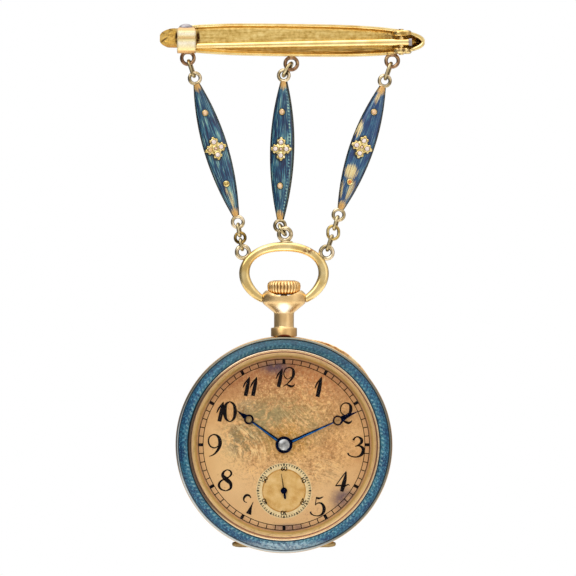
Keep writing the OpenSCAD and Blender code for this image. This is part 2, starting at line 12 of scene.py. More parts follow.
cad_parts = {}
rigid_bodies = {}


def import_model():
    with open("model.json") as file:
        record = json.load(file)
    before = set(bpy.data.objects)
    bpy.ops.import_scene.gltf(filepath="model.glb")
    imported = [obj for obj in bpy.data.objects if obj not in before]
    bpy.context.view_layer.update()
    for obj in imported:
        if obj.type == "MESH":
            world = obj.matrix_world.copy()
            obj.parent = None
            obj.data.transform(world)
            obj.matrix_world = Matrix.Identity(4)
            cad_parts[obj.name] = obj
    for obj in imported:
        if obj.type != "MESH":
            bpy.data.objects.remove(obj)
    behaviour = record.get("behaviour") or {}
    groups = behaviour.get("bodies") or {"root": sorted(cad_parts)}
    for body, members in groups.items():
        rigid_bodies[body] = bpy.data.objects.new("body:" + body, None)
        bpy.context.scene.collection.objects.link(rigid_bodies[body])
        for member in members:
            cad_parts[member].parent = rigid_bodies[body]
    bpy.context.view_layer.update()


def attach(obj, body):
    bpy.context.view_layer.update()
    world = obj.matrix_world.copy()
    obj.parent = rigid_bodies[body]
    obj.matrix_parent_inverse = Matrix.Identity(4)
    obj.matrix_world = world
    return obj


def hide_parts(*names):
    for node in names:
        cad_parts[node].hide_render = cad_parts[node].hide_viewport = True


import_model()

# The CAD's sizes, but the wire of links, panel rings and bow eyes is a little thicker, as photographed
WATCH_Z = -62.34
DIAL_Z = 1.35
SECONDS_DROP = 7.08
CASE_R = 16.7
HOUR_TURN, MINUTE_TURN, SECONDS_TURN = 305.9, 65.7, 351.1

BAR_LENGTH, BAR_HEIGHT, BAR_MID_X, BAR_LEAN = 40.9, 5.0, 1.28, 0.8
BAR_EYES = [(-14.82, -2.76), (1.13, -3.61), (16.68, -3.16)]
BAR_EYE = (0.945, 0.57)
CATCH_X = (-16.45, -13.57)
PIN_TIP, PIN_HINGE, PIN_Y = (-15.9, -0.96), (18.04, -0.34), -1.15

# A panel's row: the place of its top ring, its depth, its lean and turn in degrees, and how far its flower
# is from its upper and its lower ring
TOP_X, TOP_Z, DEPTH, LEAN, TURN, UP, DOWN = range(7)
PANELS = {
    "left": (-13.74, -5.87, 0, 16.66, 0, 11.29, 11.84),
    "centre": (-0.03, -5.41, 0.7, -1.45, -14, 11.35, 11.84),
    "right": (15.53, -6.26, 0, -19, 0, 10.8, 11.04),
}
PANEL_RING, PANEL_WIRE = 0.83, 0.54
PANEL_WIDTH, PANEL_END = 3.78, 0.95
PETALS = [(0, 1.02), (0.86, 0), (0, -1.02), (-0.86, 0)]
PEARL_OFFSET = 5.7

BOW_EYES = [(-6.34, -32.66), (0.15, -29.91), (6.57, -32.72)]
BOW_EYE = (0.93, 0.64)
LINK_WIRE = 0.48
CROWN_Z, CROWN_R, CROWN_RIBS = (-39.3, -37.0), 2.585, 28
ROPE_CUTS = 140


# Shader helpers
def linear(colour):
    """The linear RGBA that a shader takes, from an sRGB colour. One of four values is linear already."""
    def level(c):
        c /= 255
        return c / 12.92 if c <= 0.04045 else ((c + 0.055) / 1.055) ** 2.4
    return colour if len(colour) == 4 else (*[level(c) for c in colour], 1)


class Value:
    """What a shader node gives. Python's own signs work on it, and each adds a node. a | b is the greater."""

    def __init__(self, nodes, socket):
        self.nodes, self.socket = nodes, socket

    def __add__(self, other):
        return self.nodes.math("ADD", self, other)

    def __sub__(self, other):
        return self.nodes.math("SUBTRACT", self, other)

    def __rsub__(self, other):
        return self.nodes.math("SUBTRACT", other, self)

    def __mul__(self, other):
        return self.nodes.math("MULTIPLY", self, other)

    def __truediv__(self, other):
        return self.nodes.math("DIVIDE", self, other)

    def __or__(self, other):
        return self.nodes.math("MAXIMUM", self, other)

    def __abs__(self):
        return self.nodes.math("ABSOLUTE", self)

    def sine(self):
        return self.nodes.math("SINE", self)

    def step(self, low, high, to_low=0.0, to_high=1.0):
        """From low to high, clamped, as to_low to to_high, eased at both ends."""
        return self.nodes.value("MapRange", self, low, high, to_low, to_high, interpolation_type="SMOOTHSTEP")


def distance(a, b):
    return a.nodes.math("SQRT", a * a + b * b)


class Nodes:
    """A tree of shader nodes. A colour of three values is sRGB from 0 to 255, and one of four is linear."""

    def __init__(self, tree):
        self.tree = tree

    def put(self, socket, value):
        if isinstance(value, Value):
            value = value.socket
        if isinstance(value, bpy.types.NodeSocket):
            self.tree.links.new(value, socket)
        elif value is not None:
            socket.default_value = linear(value) if socket.type == "RGBA" else value

    def node(self, kind, *values, named=(), **settings):
        """A node with its settings made and its inputs filled, in their order or by name."""
        node = self.tree.nodes.new("ShaderNode" + kind)
        for name, value in settings.items():
            setattr(node, name, value)
        for socket, value in zip(node.inputs, values):
            self.put(socket, value)
        for name, value in named:
            self.put(next(s for s in node.inputs if s.name == name and s.enabled), value)
        return node

    def value(self, kind, *values, output=0, **settings):
        return Value(self, self.node(kind, *values, **settings).outputs[output])

    def parts(self, vector):
        return [Value(self, socket) for socket in self.node("SeparateXYZ", vector).outputs]

    def vector(self, x, y, z=0.0):
        return self.value("CombineXYZ", x, y, z)

    def math(self, how, a, b=0.0):
        return self.value("Math", a, b, operation=how)

    def ramp(self, fac, *stops):
        node = self.node("ValToRGB", fac)
        bar = node.color_ramp.elements
        for element, (place, colour) in zip(bar, (stops[0], stops[-1])):
            element.position, element.color = place, linear(colour)
        for place, colour in stops[1:-1]:
            bar.new(place).color = linear(colour)
        return Value(self, node.outputs["Color"])

    def mix(self, fac, a, b, how="MIX"):
        node = self.node("Mix", data_type="RGBA", blend_type=how, named=(("Factor", fac), ("A", a), ("B", b)))
        return Value(self, next(s for s in node.outputs if s.enabled))


class Look(Nodes):
    """A material under construction, and tone is its colour so far. place is the place in the row frame in
    millimetres, x, y and z are its parts, and ovals lie in the plane called flat."""

    def __init__(self, name, **shader):
        self.material = bpy.data.materials.new(name)
        self.material.use_nodes = True
        super().__init__(self.material.node_tree)
        self.bsdf = self.tree.nodes["Principled BSDF"]
        self.set(**shader)
        self.place = self.scaled(self.value("TexCoord", output="Object"), (1000, 1000, 1000))
        self.x, self.y, self.z = self.parts(self.place)
        self.flat = self.x, self.z
        self.tone = None

    def set(self, **inputs):
        """Sets the Principled shader's inputs, with underscores for the spaces in their names."""
        for name, value in inputs.items():
            self.put(self.bsdf.inputs[name.replace("_", " ")], value)

    def scaled(self, vector, by):
        return self.value("VectorMath", vector, by, operation="MULTIPLY")

    def uv(self):
        """The two values of the piece's map."""
        return self.parts(self.value("UVMap", uv_map="UVMap"))[:2]

    def noise(self, scale, detail=3.0, rough=0.5, twist=0.0, stretch=None, at=None):
        """Noise over the place, which may be stretched first, or over another vector."""
        at = at or (self.scaled(self.place, stretch) if stretch else self.place)
        return self.value("TexNoise", named=(("Vector", at), ("Scale", scale), ("Detail", detail),
                                             ("Roughness", rough), ("Distortion", twist)))

    def banded(self, value, low, length, bands):
        """Colours at places along a value that runs from low over a length."""
        stops = [((place - low) / length, colour) for place, colour in bands]
        return self.ramp((value - low) / length, *stops)

    def tint(self, mask, colour, share=None):
        """Lays a colour over the tone, where the mask is, at a share of its strength."""
        self.tone = self.mix(mask if share is None else mask * share, self.tone, colour)

    def spot(self, cx, cz, rx, rz, soft=0.6, flat=None):
        """1 inside an oval round (cx, cz), falling to 0 at its edge."""
        x, z = flat or self.flat
        return distance((x - cx) / rx, (z - cz) / rz).step(1.0, 1.0 - soft, 0.0, 1.0)

    def bump(self, height, strength, distance_mm=0.02, normal=None):
        return self.value("Bump", named=(("Strength", strength), ("Distance", distance_mm / 1000),
                                         ("Height", height), ("Normal", normal)))

    def done(self, roughness=None, normal=None):
        self.set(Base_Color=self.tone, Roughness=roughness, Normal=normal)
        return self.material


# Mesh helpers
def make(name, verts, faces, materials, body, replaces=(), uvs=None, face_materials=None,
         sharp=38, closed=True):
    """A piece from points in millimetres. Edges sharper than the given angle stay hard."""
    mesh = bpy.data.meshes.new(name)
    mesh.from_pydata([(x / 1000, y / 1000, z / 1000) for x, y, z in verts], [], faces)
    if closed:
        work = bmesh.new()
        work.from_mesh(mesh)
        bmesh.ops.recalc_face_normals(work, faces=work.faces)
        work.to_mesh(mesh)
        work.free()
    materials = materials if isinstance(materials, (list, tuple)) else [materials]
    for material in materials:
        mesh.materials.append(material)
    mesh.polygons.foreach_set("use_smooth", [True] * len(mesh.polygons))
    if face_materials:
        mesh.polygons.foreach_set("material_index", face_materials)
    if uvs:
        layer = mesh.uv_layers.new(name="UVMap").data
        for loop in mesh.loops:
            layer[loop.index].uv = uvs[loop.vertex_index]
    mesh.set_sharp_from_angle(angle=math.radians(sharp))
    piece = bpy.data.objects.new(name, mesh)
    bpy.context.scene.collection.objects.link(piece)
    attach(piece, body)
    if replaces:
        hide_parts(*replaces)
    return piece


class Shape:
    """Points and faces gathered from several simple forms, for one piece."""

    def __init__(self):
        self.verts, self.faces, self.uvs, self.kinds = [], [], [], []

    def grid(self, rows, caps=(False, False), uvs=None, kind=0):
        """Faces between rows of points. Each row is closed on itself, and a capped end row is filled."""
        start, width = len(self.verts), len(rows[0])
        self.verts += [p for row in rows for p in row]
        self.uvs += [p for row in uvs for p in row] if uvs else [(0.0, 0.0)] * (width * len(rows))
        for i in range(len(rows) - 1):
            for k in range(width):
                a, b = start + i * width, start + (i + 1) * width
                beside = (k + 1) % width
                self.faces.append((a + k, a + beside, b + beside, b + k))
                self.kinds.append(kind)
        for capped, row, flip in ((caps[0], 0, True), (caps[1], len(rows) - 1, False)):
            if capped:
                ring = [start + row * width + k for k in range(width)]
                self.faces.append(tuple(reversed(ring)) if flip else tuple(ring))
                self.kinds.append(kind)
        return self

    def moved(self, matrix):
        self.verts = [tuple(matrix @ Vector(p)) for p in self.verts]
        return self

    def add(self, other, kind=None):
        start = len(self.verts)
        self.verts += other.verts
        self.uvs += other.uvs
        self.faces += [tuple(start + i for i in face) for face in other.faces]
        self.kinds += [kind if kind is not None else k for k in other.kinds]
        return self

    def piece(self, name, materials, body, slot, replaces=(), sharp=38, use_uvs=False, closed=True):
        return make(name, self.verts, self.faces, materials, body, replaces,
                    self.uvs if use_uvs else None, self.kinds, sharp, closed)


def turn(count, offset=0.0):
    return [2 * math.pi * (k + offset) / count for k in range(count)]


def lathe(profile, steps=96, closed=True, wave=None):
    """A turned form about Z from (radius, height) points. wave(angle, index) scales the radius."""
    def ring(i, r, z):
        return [(r * scale * math.cos(a), r * scale * math.sin(a), z)
                for a, scale in ((a, wave(a, i) if wave else 1) for a in turn(steps))]

    rows = [ring(i, r, z) for i, (r, z) in enumerate(profile)]
    if closed:
        return Shape().grid(rows + rows[:1])
    return Shape().grid(rows, caps=(profile[0][0] > 0.001, profile[-1][0] > 0.001))


def dial_frame():
    """From the dial's own frame, X right, Y up and Z towards the viewer, to the row frame."""
    return at(0, WATCH_Z) @ about("X", 90)


def tube(path, wire, sides=12):
    """A closed wire along a line in the XZ plane. Its map is -1 on its inner side and 1 on its outer."""
    rows, r = [], wire / 2
    for i, (x, z) in enumerate(path):
        ahead, behind = path[(i + 1) % len(path)], path[i - 1]
        way = Vector((ahead[0] - behind[0], ahead[1] - behind[1])).normalized()
        rows.append([(x + way[1] * r * math.cos(q), r * math.sin(q), z - way[0] * r * math.cos(q))
                     for q in turn(sides)])
    rows.append(rows[0])
    return Shape().grid(rows, uvs=[[(math.cos(q), 0.5) for q in turn(sides)]] * len(rows))


def ball(r, steps=20):
    """A sphere about the origin."""
    rows = 10
    return lathe([(max(r * math.sin(math.pi * i / rows), 1e-4), -r * math.cos(math.pi * i / rows))
                  for i in range(rows + 1)], steps, closed=False)


def soft_ring(ring_r, wire, steps=44, sides=14):
    """A round wire ring that faces the viewer."""
    return tube([(ring_r * math.cos(a), ring_r * math.sin(a)) for a in turn(steps)], wire, sides)


def at(x, z, y=0.0):
    return Matrix.Translation((x, y, z))


def about(axis, degrees):
    return Matrix.Rotation(math.radians(degrees), 4, axis)


def mixed(a, b, t):
    return a + (b - a) * t


def clamped(value):
    return min(max(value, 0), 1)


# Finishes
def gold(name, light, dark, rough, grain=0.25):
    """Polished or dull gold: a slow change of colour, fine wear in the polish, and a grain."""
    look = Look(name, Metallic=1.0)
    look.tone = look.ramp(look.noise(0.35, 4, 0.6), (0.3, dark), (0.7, light))
    scratches = look.noise(9.0, 2, 0.7, stretch=(4, 4, 4))
    return look.done(look.noise(6.0, 5, 0.65).step(0.3, 0.75, rough * 0.75, rough * 1.35),
                     look.bump(scratches, grain, 0.01))


def wire_look(name, *stops):
    """Wire of rings and links, with painted shade on the inner side of the wire."""
    look = Look(name, Metallic=1.0)
    look.tone = look.ramp(look.noise(0.9, 4, 0.6), *stops)
    # painted shade on the wire's inner side, facing into the ring
    look.tint(look.uv()[0].step(-0.5, -0.88, 0, 0.9), (52, 38, 30))
    return look.done(look.noise(5, 4).step(0.3, 0.7, 0.13, 0.24), look.bump(look.noise(4, 3), 0.08, 0.02))


def bow_gold():
    """Worn polish, with a reddish stain on the bow's right shoulder and faint rubbing along the top."""
    look = Look("bow_gold", Metallic=1.0)
    look.tone = look.ramp(look.noise(0.45, 4, 0.6), (0.3, (214, 182, 112)), (0.7, (244, 222, 164)))
    stain = look.spot(3.9, -32.4, 1.5, 0.75) * look.noise(2.2, 4, 0.65).step(0.4, 0.56)
    look.tint(stain, (120, 66, 34), 0.85)
    look.tint(look.spot(-0.4, -31.1, 2.6, 0.35) * look.noise(4.5, 2).step(0.5, 0.62, 0, 0.55), (150, 120, 74))
    fine = look.noise(5, 5, 0.65)
    return look.done(fine.step(0.3, 0.75, 0.13, 0.26), look.bump(look.noise(14, 3), 0.08, 0.01))


def pendant_gold():
    """The case's gold, with a painted highlight on the front of the pendant's cone, darker from the collar
    down, and painted shade under the collar at the front.
    """
    look = Look("pendant_gold", Metallic=1.0)
    look.tone = look.ramp(look.noise(0.5, 4, 0.6), (0.3, (216, 180, 124)), (0.7, (238, 208, 154)))
    # painted highlight on the front of the cone
    look.tint(look.spot(0, -41.3, 1.7, 1.0, 0.8), (254, 246, 228))
    look.tint(look.z.step(-44.2, -44.6, 0, 0.6), (190, 148, 92))
    # painted shade under the collar, on the front side only
    look.tint(look.spot(0.08, -45.6, 1.1, 0.3, 0.4) * look.y.step(0, -1), (110, 44, 24))
    return look.done(look.noise(5, 4).step(0.3, 0.7, 0.3, 0.38), look.bump(look.noise(3, 3), 0.1, 0.01))


def crown_gold():
    """Rosy gold, darker brown in the hollows between the ribs."""
    look = Look("crown_gold", Metallic=1.0)
    hollow = abs((look.math("ARCTAN2", look.y, look.x) * (CROWN_RIBS / 2)).sine())
    look.tone = look.ramp(look.noise(0.8, 3), (0.3, (220, 176, 112)), (0.7, (244, 214, 156)))
    look.tint(hollow.step(0.5, 0.1, 0.0, 0.85), (134, 82, 34))
    return look.done(look.noise(6, 4).step(0.3, 0.7, 0.18, 0.34), look.bump(look.noise(12, 2), 0.1, 0.01))


def rough_end(look):
    """The bar's left end, past the catch: ochre and pitted, with a dark notch that rises to the right."""
    pits = look.noise(1.9, 6, 0.72, 0.6)
    left = look.x.step(-16.3, -16.8) * look.y.step(0.4, -0.2) * look.noise(0.9, 3).step(0.3, 0.6, 0.6, 1)
    look.tint(left, (234, 190, 96))
    look.tint(left * pits.step(0.5, 0.6, 0, 0.75), (132, 94, 38))
    look.tint(left * look.z.step(-0.5, -1.0, 0, 0.5), (236, 150, 70))
    dx, dz = look.x + 18.45, look.z - 0.05
    notch = look.spot(0, 0, 0.95, 0.2, flat=(dx * 0.79 + dz * 0.61, dz * 0.79 - dx * 0.61))
    look.tint(notch * look.y.step(0, -0.2, 0, 0.8), (84, 54, 26))


def bar_gold():
    """The shell's outside and the hinge, with brown dirt round the catch and the hinge."""
    look = Look("bar_gold", Metallic=1.0)
    look.tone = look.ramp(look.noise(0.5, 4, 0.6), (0.3, (222, 186, 112)), (0.7, (248, 228, 166)))
    rough = look.noise(1.9, 5, 0.7)
    dirt = (look.spot(18.6, -0.6, 2.6, 2.4) | look.spot(16.5, -2.2, 2.0, 1.2)) * rough.step(0.46, 0.6)
    look.tint(dirt, (92, 56, 30), 0.85)
    look.tint(look.spot(18.2, 1.1, 1.9, 0.8) * rough.step(0.36, 0.56, 0.3, 0.8), (164, 128, 58))
    rough_end(look)
    brushed = look.noise(9, 3, stretch=(0.3, 1, 1))
    return look.done(look.noise(5, 5, 0.65).step(0.3, 0.75, 0.15, 0.32), look.bump(brushed, 0.1, 0.012))


def catch_look():
    """The catch, in bands up its height: painted highlights on its two bulges, a brown seam between them,
    redder solder at its foot, pinkish painted shade at its top, and greyer at its two side edges.
    """
    look = Look("catch_gold", Metallic=0.45)
    # the near-white bands are painted highlights on the strap's two bulges, and the pinkish band at the top is
    # painted shade
    look.tone = look.banded(look.z, -2.2, 4.5, [
        (-2.2, (206, 156, 92)), (-1.8, (230, 180, 116)), (-1.35, (250, 232, 170)), (-0.5, (254, 248, 226)),
        (-0.05, (240, 226, 168)), (0.14, (186, 160, 106)), (0.4, (176, 146, 96)), (0.56, (232, 214, 160)),
        (0.9, (254, 248, 222)), (1.3, (248, 232, 182)), (1.5, (206, 162, 110)), (2.1, (190, 152, 110))])
    look.tint(look.noise(1.1, 3, 0.6).step(0.5, 0.68, 0, 0.25), (214, 182, 122))
    look.tint(look.x.step(-16.1, -16.4, 0, 0.6) | look.x.step(-13.95, -13.6, 0, 0.5), (168, 150, 112))
    return look.done(look.noise(3, 3).step(0.3, 0.7, 0.2, 0.28), look.bump(look.noise(2, 2), 0.05, 0.01))


def floor_gold():
    """The bar's hollow side: satin, brushed lengthwise, with painted shade under the pin, painted shadows in
    the gaps beside the catch and in the hollow past the hinge, and rough at the left end.
    """
    look = Look("floor_gold", Metallic=1.0)
    brushed = look.noise(2.4, 5, 0.65, stretch=(0.15, 1, 1.5))
    mottled = brushed * 0.5 + look.noise(1.6, 5, 0.7) * 0.5
    look.tone = look.ramp(mottled, (0.38, (190, 152, 76)), (0.5, (226, 194, 116)), (0.62, (246, 222, 152)))
    # painted shade under the pin, stronger to the right
    lower = look.z.step(-1.0, -1.45) * look.noise(2.0, 4, stretch=(0.2, 1, 2)).step(0.38, 0.55, 0.25, 0.8)
    look.tint(lower * look.x.step(-12, 14, 0.35, 1.0), (126, 84, 32))
    rough_end(look)
    pits = look.noise(2.6, 6, 0.72, 0.6)
    # painted shadows in the gaps on both sides of the catch
    catch_shadows = look.spot(-16.55, 0.35, 0.34, 1.3) | look.spot(-13.25, 0.3, 0.4, 1.5)
    look.tint(catch_shadows * pits.step(0.36, 0.5, 0.5, 1), (64, 32, 14))
    # painted shadow in the hollow past the hinge
    look.tint(look.spot(20.6, -0.6, 1.6, 1.7) * look.noise(1.6, 4, 0.6).step(0.38, 0.52), (74, 36, 26), 0.92)
    look.tint(look.spot(16.6, 0.2, 2.0, 2.4) * pits.step(0.44, 0.58, 0, 0.7), (116, 78, 36))
    look.tint(look.spot(20.0, 0.45, 0.5, 1.0), (236, 186, 84))
    dents = look.bump(pits, look.x.step(-14.8, -16.6, 0.15, 1.0), 0.25)
    return look.done(brushed.step(0.3, 0.7, 0.3, 0.46), look.bump(brushed, 0.3, 0.02, dents))


def plate_edge():
    """The panels' milled edges: dark, with painted light on the crests."""
    look = Look("panel_edge", Metallic=1.0, Roughness=0.42)
    crest = look.noise(4.5, 2, stretch=(1, 1, 3))
    look.tone = look.ramp(crest, (0.42, (34, 42, 50)), (0.6, (92, 96, 84)), (0.75, (160, 150, 112)))
    return look.done(normal=look.bump(crest, 0.6, 0.08))


def setting_gold():
    """Yellow gold of the claws and cups."""
    look = Look("setting_gold", Metallic=1.0)
    look.tone = look.ramp(look.noise(3.2, 3), (0.3, (168, 142, 78)), (0.52, (216, 194, 124)),
                          (0.72, (252, 242, 206)))
    return look.done(look.noise(6, 3).step(0.3, 0.7, 0.2, 0.34), look.bump(look.noise(9, 2), 0.15, 0.02))


def residue():
    """Orange cement left in a cup that has lost its pearl."""
    look = Look("old_cement", Roughness=0.45)
    look.tone = look.ramp(look.noise(4, 3), (0.35, (196, 92, 30)), (0.65, (232, 160, 70)))
    return look.done(normal=look.bump(look.noise(6, 3), 0.6, 0.06))


def panel_half(panel, z, inset=0.0):
    """Half a panel's width at a place along it."""
    reach = (PANELS[panel][UP] if z > 0 else PANELS[panel][DOWN]) - PANEL_RING
    return PANEL_WIDTH / 2 - (PANEL_WIDTH - PANEL_END) / 2 * (z / reach) ** 2 - inset


ENAMEL_STOPS = ((0.26, (4, 22, 58)), (0.4, (10, 54, 92)), (0.54, (28, 92, 120)), (0.68, (78, 138, 146)),
                (0.84, (152, 188, 170)))


def enamel(panel, seed, blue, worn=(), pale=(), tips=(1.2, 1.35), rope=0.0):
    """Translucent enamel over lines that run from tip to tip. The map holds the share across, and the
    distance from the flower in millimetres. worn and pale are ovals: place across and along, half width and
    half length, strength. rope is the strength of the pale slanted cuts along the right edge."""
    look = Look("enamel_" + panel, Metallic=0.3, Coat_Weight=0.6, Coat_Roughness=0.08)
    look.flat = across, along_it = look.uv()

    def lines(wide, long, detail, rough):
        return look.noise(1.0, detail, rough, at=look.vector(across * wide, along_it * long, seed))

    streaks, hairs, cloud = lines(7.0, 0.22, 4, 0.62), lines(16.0, 0.36, 2, 0.55), lines(1.6, 0.4, 3, 0.6)
    light = (streaks * 0.36 + (hairs * 0.46 + cloud * 0.18)) * 4.1 - 1.6
    for *oval, strength in pale:
        light = light + look.spot(*oval, 0.9) * strength * hairs.step(0.3, 0.6, 0.35, 1.2)
    if rope:
        row = across.step(0.6, 0.72) * across.step(0.88, 0.8) * cloud.step(0.36, 0.6, 0.2, 1.3)
        light = light + (along_it * (2 * math.pi / 0.5) + across * 5).sine() * row * rope
    look.tone = look.mix(blue, look.ramp(light, *ENAMEL_STOPS), (20, 62, 122))
    shade = abs(across).step(0.84, 0.99, 0, 0.8)
    cups = [(0, PEARL_OFFSET, 0.68), (0, -PEARL_OFFSET, 0.68)]
    for x, z, r in cups + [(x - 0.12, z - 0.08, 1.02) for x, z in PETALS]:
        half = panel_half(panel, z)
        shade = shade | look.spot(x / half, z, r / half, r, 0.3)
    look.tint(shade, (8, 16, 24), 0.95)
    under = look.ramp(streaks, (0.35, (190, 150, 74)), (0.5, (232, 210, 146)), (0.66, (224, 222, 176)))
    top, bottom = (PANELS[panel][i] - PANEL_RING for i in (UP, DOWN))
    point = (1.0 - abs(across)) * 0.6
    bare = ((along_it + point).step(top - tips[0] - 0.3, top - tips[0] + 1.2)
            | (along_it - point).step(tips[1] + 0.3 - bottom, tips[1] - bottom - 1.2))
    under = look.mix(bare * 0.85, under, (216, 158, 62))
    for *oval, strength in worn:
        bare = bare | look.spot(*oval, 0.95) * strength
    bare = bare + (hairs - 0.5) * 3.2 * bare.step(0.05, 0.4)
    look.tint(bare.step(0.2, 0.9, 0, 0.92), under)
    return look.done(streaks.step(0.3, 0.7, 0.28, 0.4), look.bump(hairs, 0.5, 0.04))


def dial_plane(look):
    """Turns a look's ovals to the dial's plane, and gives x, y and the distance from the dial's middle."""
    look.flat = x, y = look.x, look.z - WATCH_Z
    return x, y, distance(x, y)


def bezel_gold():
    """Turned gold in bands: the dull inner slope, a brown line, the greyed polished lip and the outer rim."""
    look = Look("bezel_gold")
    x, y, far = dial_plane(look)
    look.tone = look.banded(far, 13.2, 3.5, [
        (13.2, (214, 166, 122)), (13.42, (226, 182, 134)), (13.52, (196, 164, 100)), (13.7, (212, 182, 114)),
        (13.86, (236, 204, 150)), (14.1, (220, 188, 130)), (14.2, (226, 184, 140)), (14.25, (128, 72, 50)),
        (14.36, (150, 96, 74)), (14.44, (206, 170, 126)), (14.6, (216, 190, 150)), (14.68, (190, 172, 156)),
        (14.76, (200, 188, 176)), (14.84, (110, 106, 104)), (16.2, (84, 94, 98)), (16.36, (128, 130, 120)),
        (16.7, (104, 102, 94))])
    look.tint(look.noise(1.4, 4, 0.65).step(0.5, 0.7, 0, 0.4), (160, 122, 84))
    # darker on the left side, over the lip and outwards
    darker_left = x.step(-7.5, -12.5) * far.step(14.2, 14.3) * far.step(16, 15.5, 0, 0.85)
    look.tint(darker_left, (62, 54, 54))
    # painted highlight: a pale cool sheen on the front of the outer rim at lower left
    painted_cool_highlight = (x + y).step(-4, -16) * far.step(16.24, 16.32, 0, 0.75) * look.y.step(-2.3, -2.5)
    look.tint(painted_cool_highlight, (196, 208, 214))
    look.set(Metallic=far.step(14.24, 14.36, 0.35, 1.0))
    lines = (far * (2 * math.pi / 0.17)).sine() * far.step(14.2, 14.1, 0, 1)
    return look.done(far.step(14.24, 14.36, 0.4, 0.24), look.bump(look.noise(8, 3) + lines, 0.2, 0.01))


def bezel_enamel():
    """Blue enamel over rows of fine slanted cuts, like basket work."""
    look = Look("enamel_bezel", Metallic=0.3, Coat_Weight=0.15, Coat_Roughness=0.1, Specular_IOR_Level=0.3)
    x, y, far = dial_plane(look)
    turns = look.math("ARCTAN2", y, x) / (2 * math.pi)
    cloud, grain = look.noise(0.5, 4, 0.6), look.noise(2.6, 4, 0.65)
    height = far - 15.5

    def cuts(slant, shift, middle, half):
        wave = ((turns * ROPE_CUTS + height * slant) * (2 * math.pi) + shift).sine()
        return wave.step(-0.3, 0.8) * abs(height - middle).step(half, half * 0.3)

    inner, centre, outer = cuts(0.9, 0, -0.34, 0.3), cuts(-0.9, 2, 0.04, 0.28), cuts(0.9, 4, 0.4, 0.28)
    look.tone = look.ramp(cloud, (0.32, (14, 50, 92)), (0.5, (24, 78, 112)), (0.7, (38, 100, 122)))
    look.tint(height.step(0.0, -0.6, 0, 0.5), (58, 116, 128))
    for row, low, high, colour in ((inner, 0.1, 0.85, (132, 172, 176)), (centre, 0.0, 0.55, (78, 140, 160)),
                                   (outer, 0.1, 0.75, (8, 30, 74))):
        look.tint(row * grain.step(0.4, 0.6, low, high), colour)
    look.tint(grain.step(0.46, 0.36, 0, 0.8), (6, 34, 74))
    look.tint(look.noise(4.2, 2, 0.6).step(0.56, 0.66, 0, 0.7), (96, 160, 184))
    look.tint(y.step(8, 15.5, 0, 0.6), (30, 66, 72))
    # painted sheen: paler towards the bottom of the ring
    look.tint(y.step(-14.4, -15.6) * grain.step(0.4, 0.6, 0.2, 0.7), (168, 190, 198))
    look.tint(height.step(0.55, 0.74) | height.step(-0.58, -0.68), (40, 66, 82), 0.7)
    return look.done(grain.step(0.3, 0.7, 0.26, 0.4), look.bump(inner + (centre - outer), 0.4, 0.04))


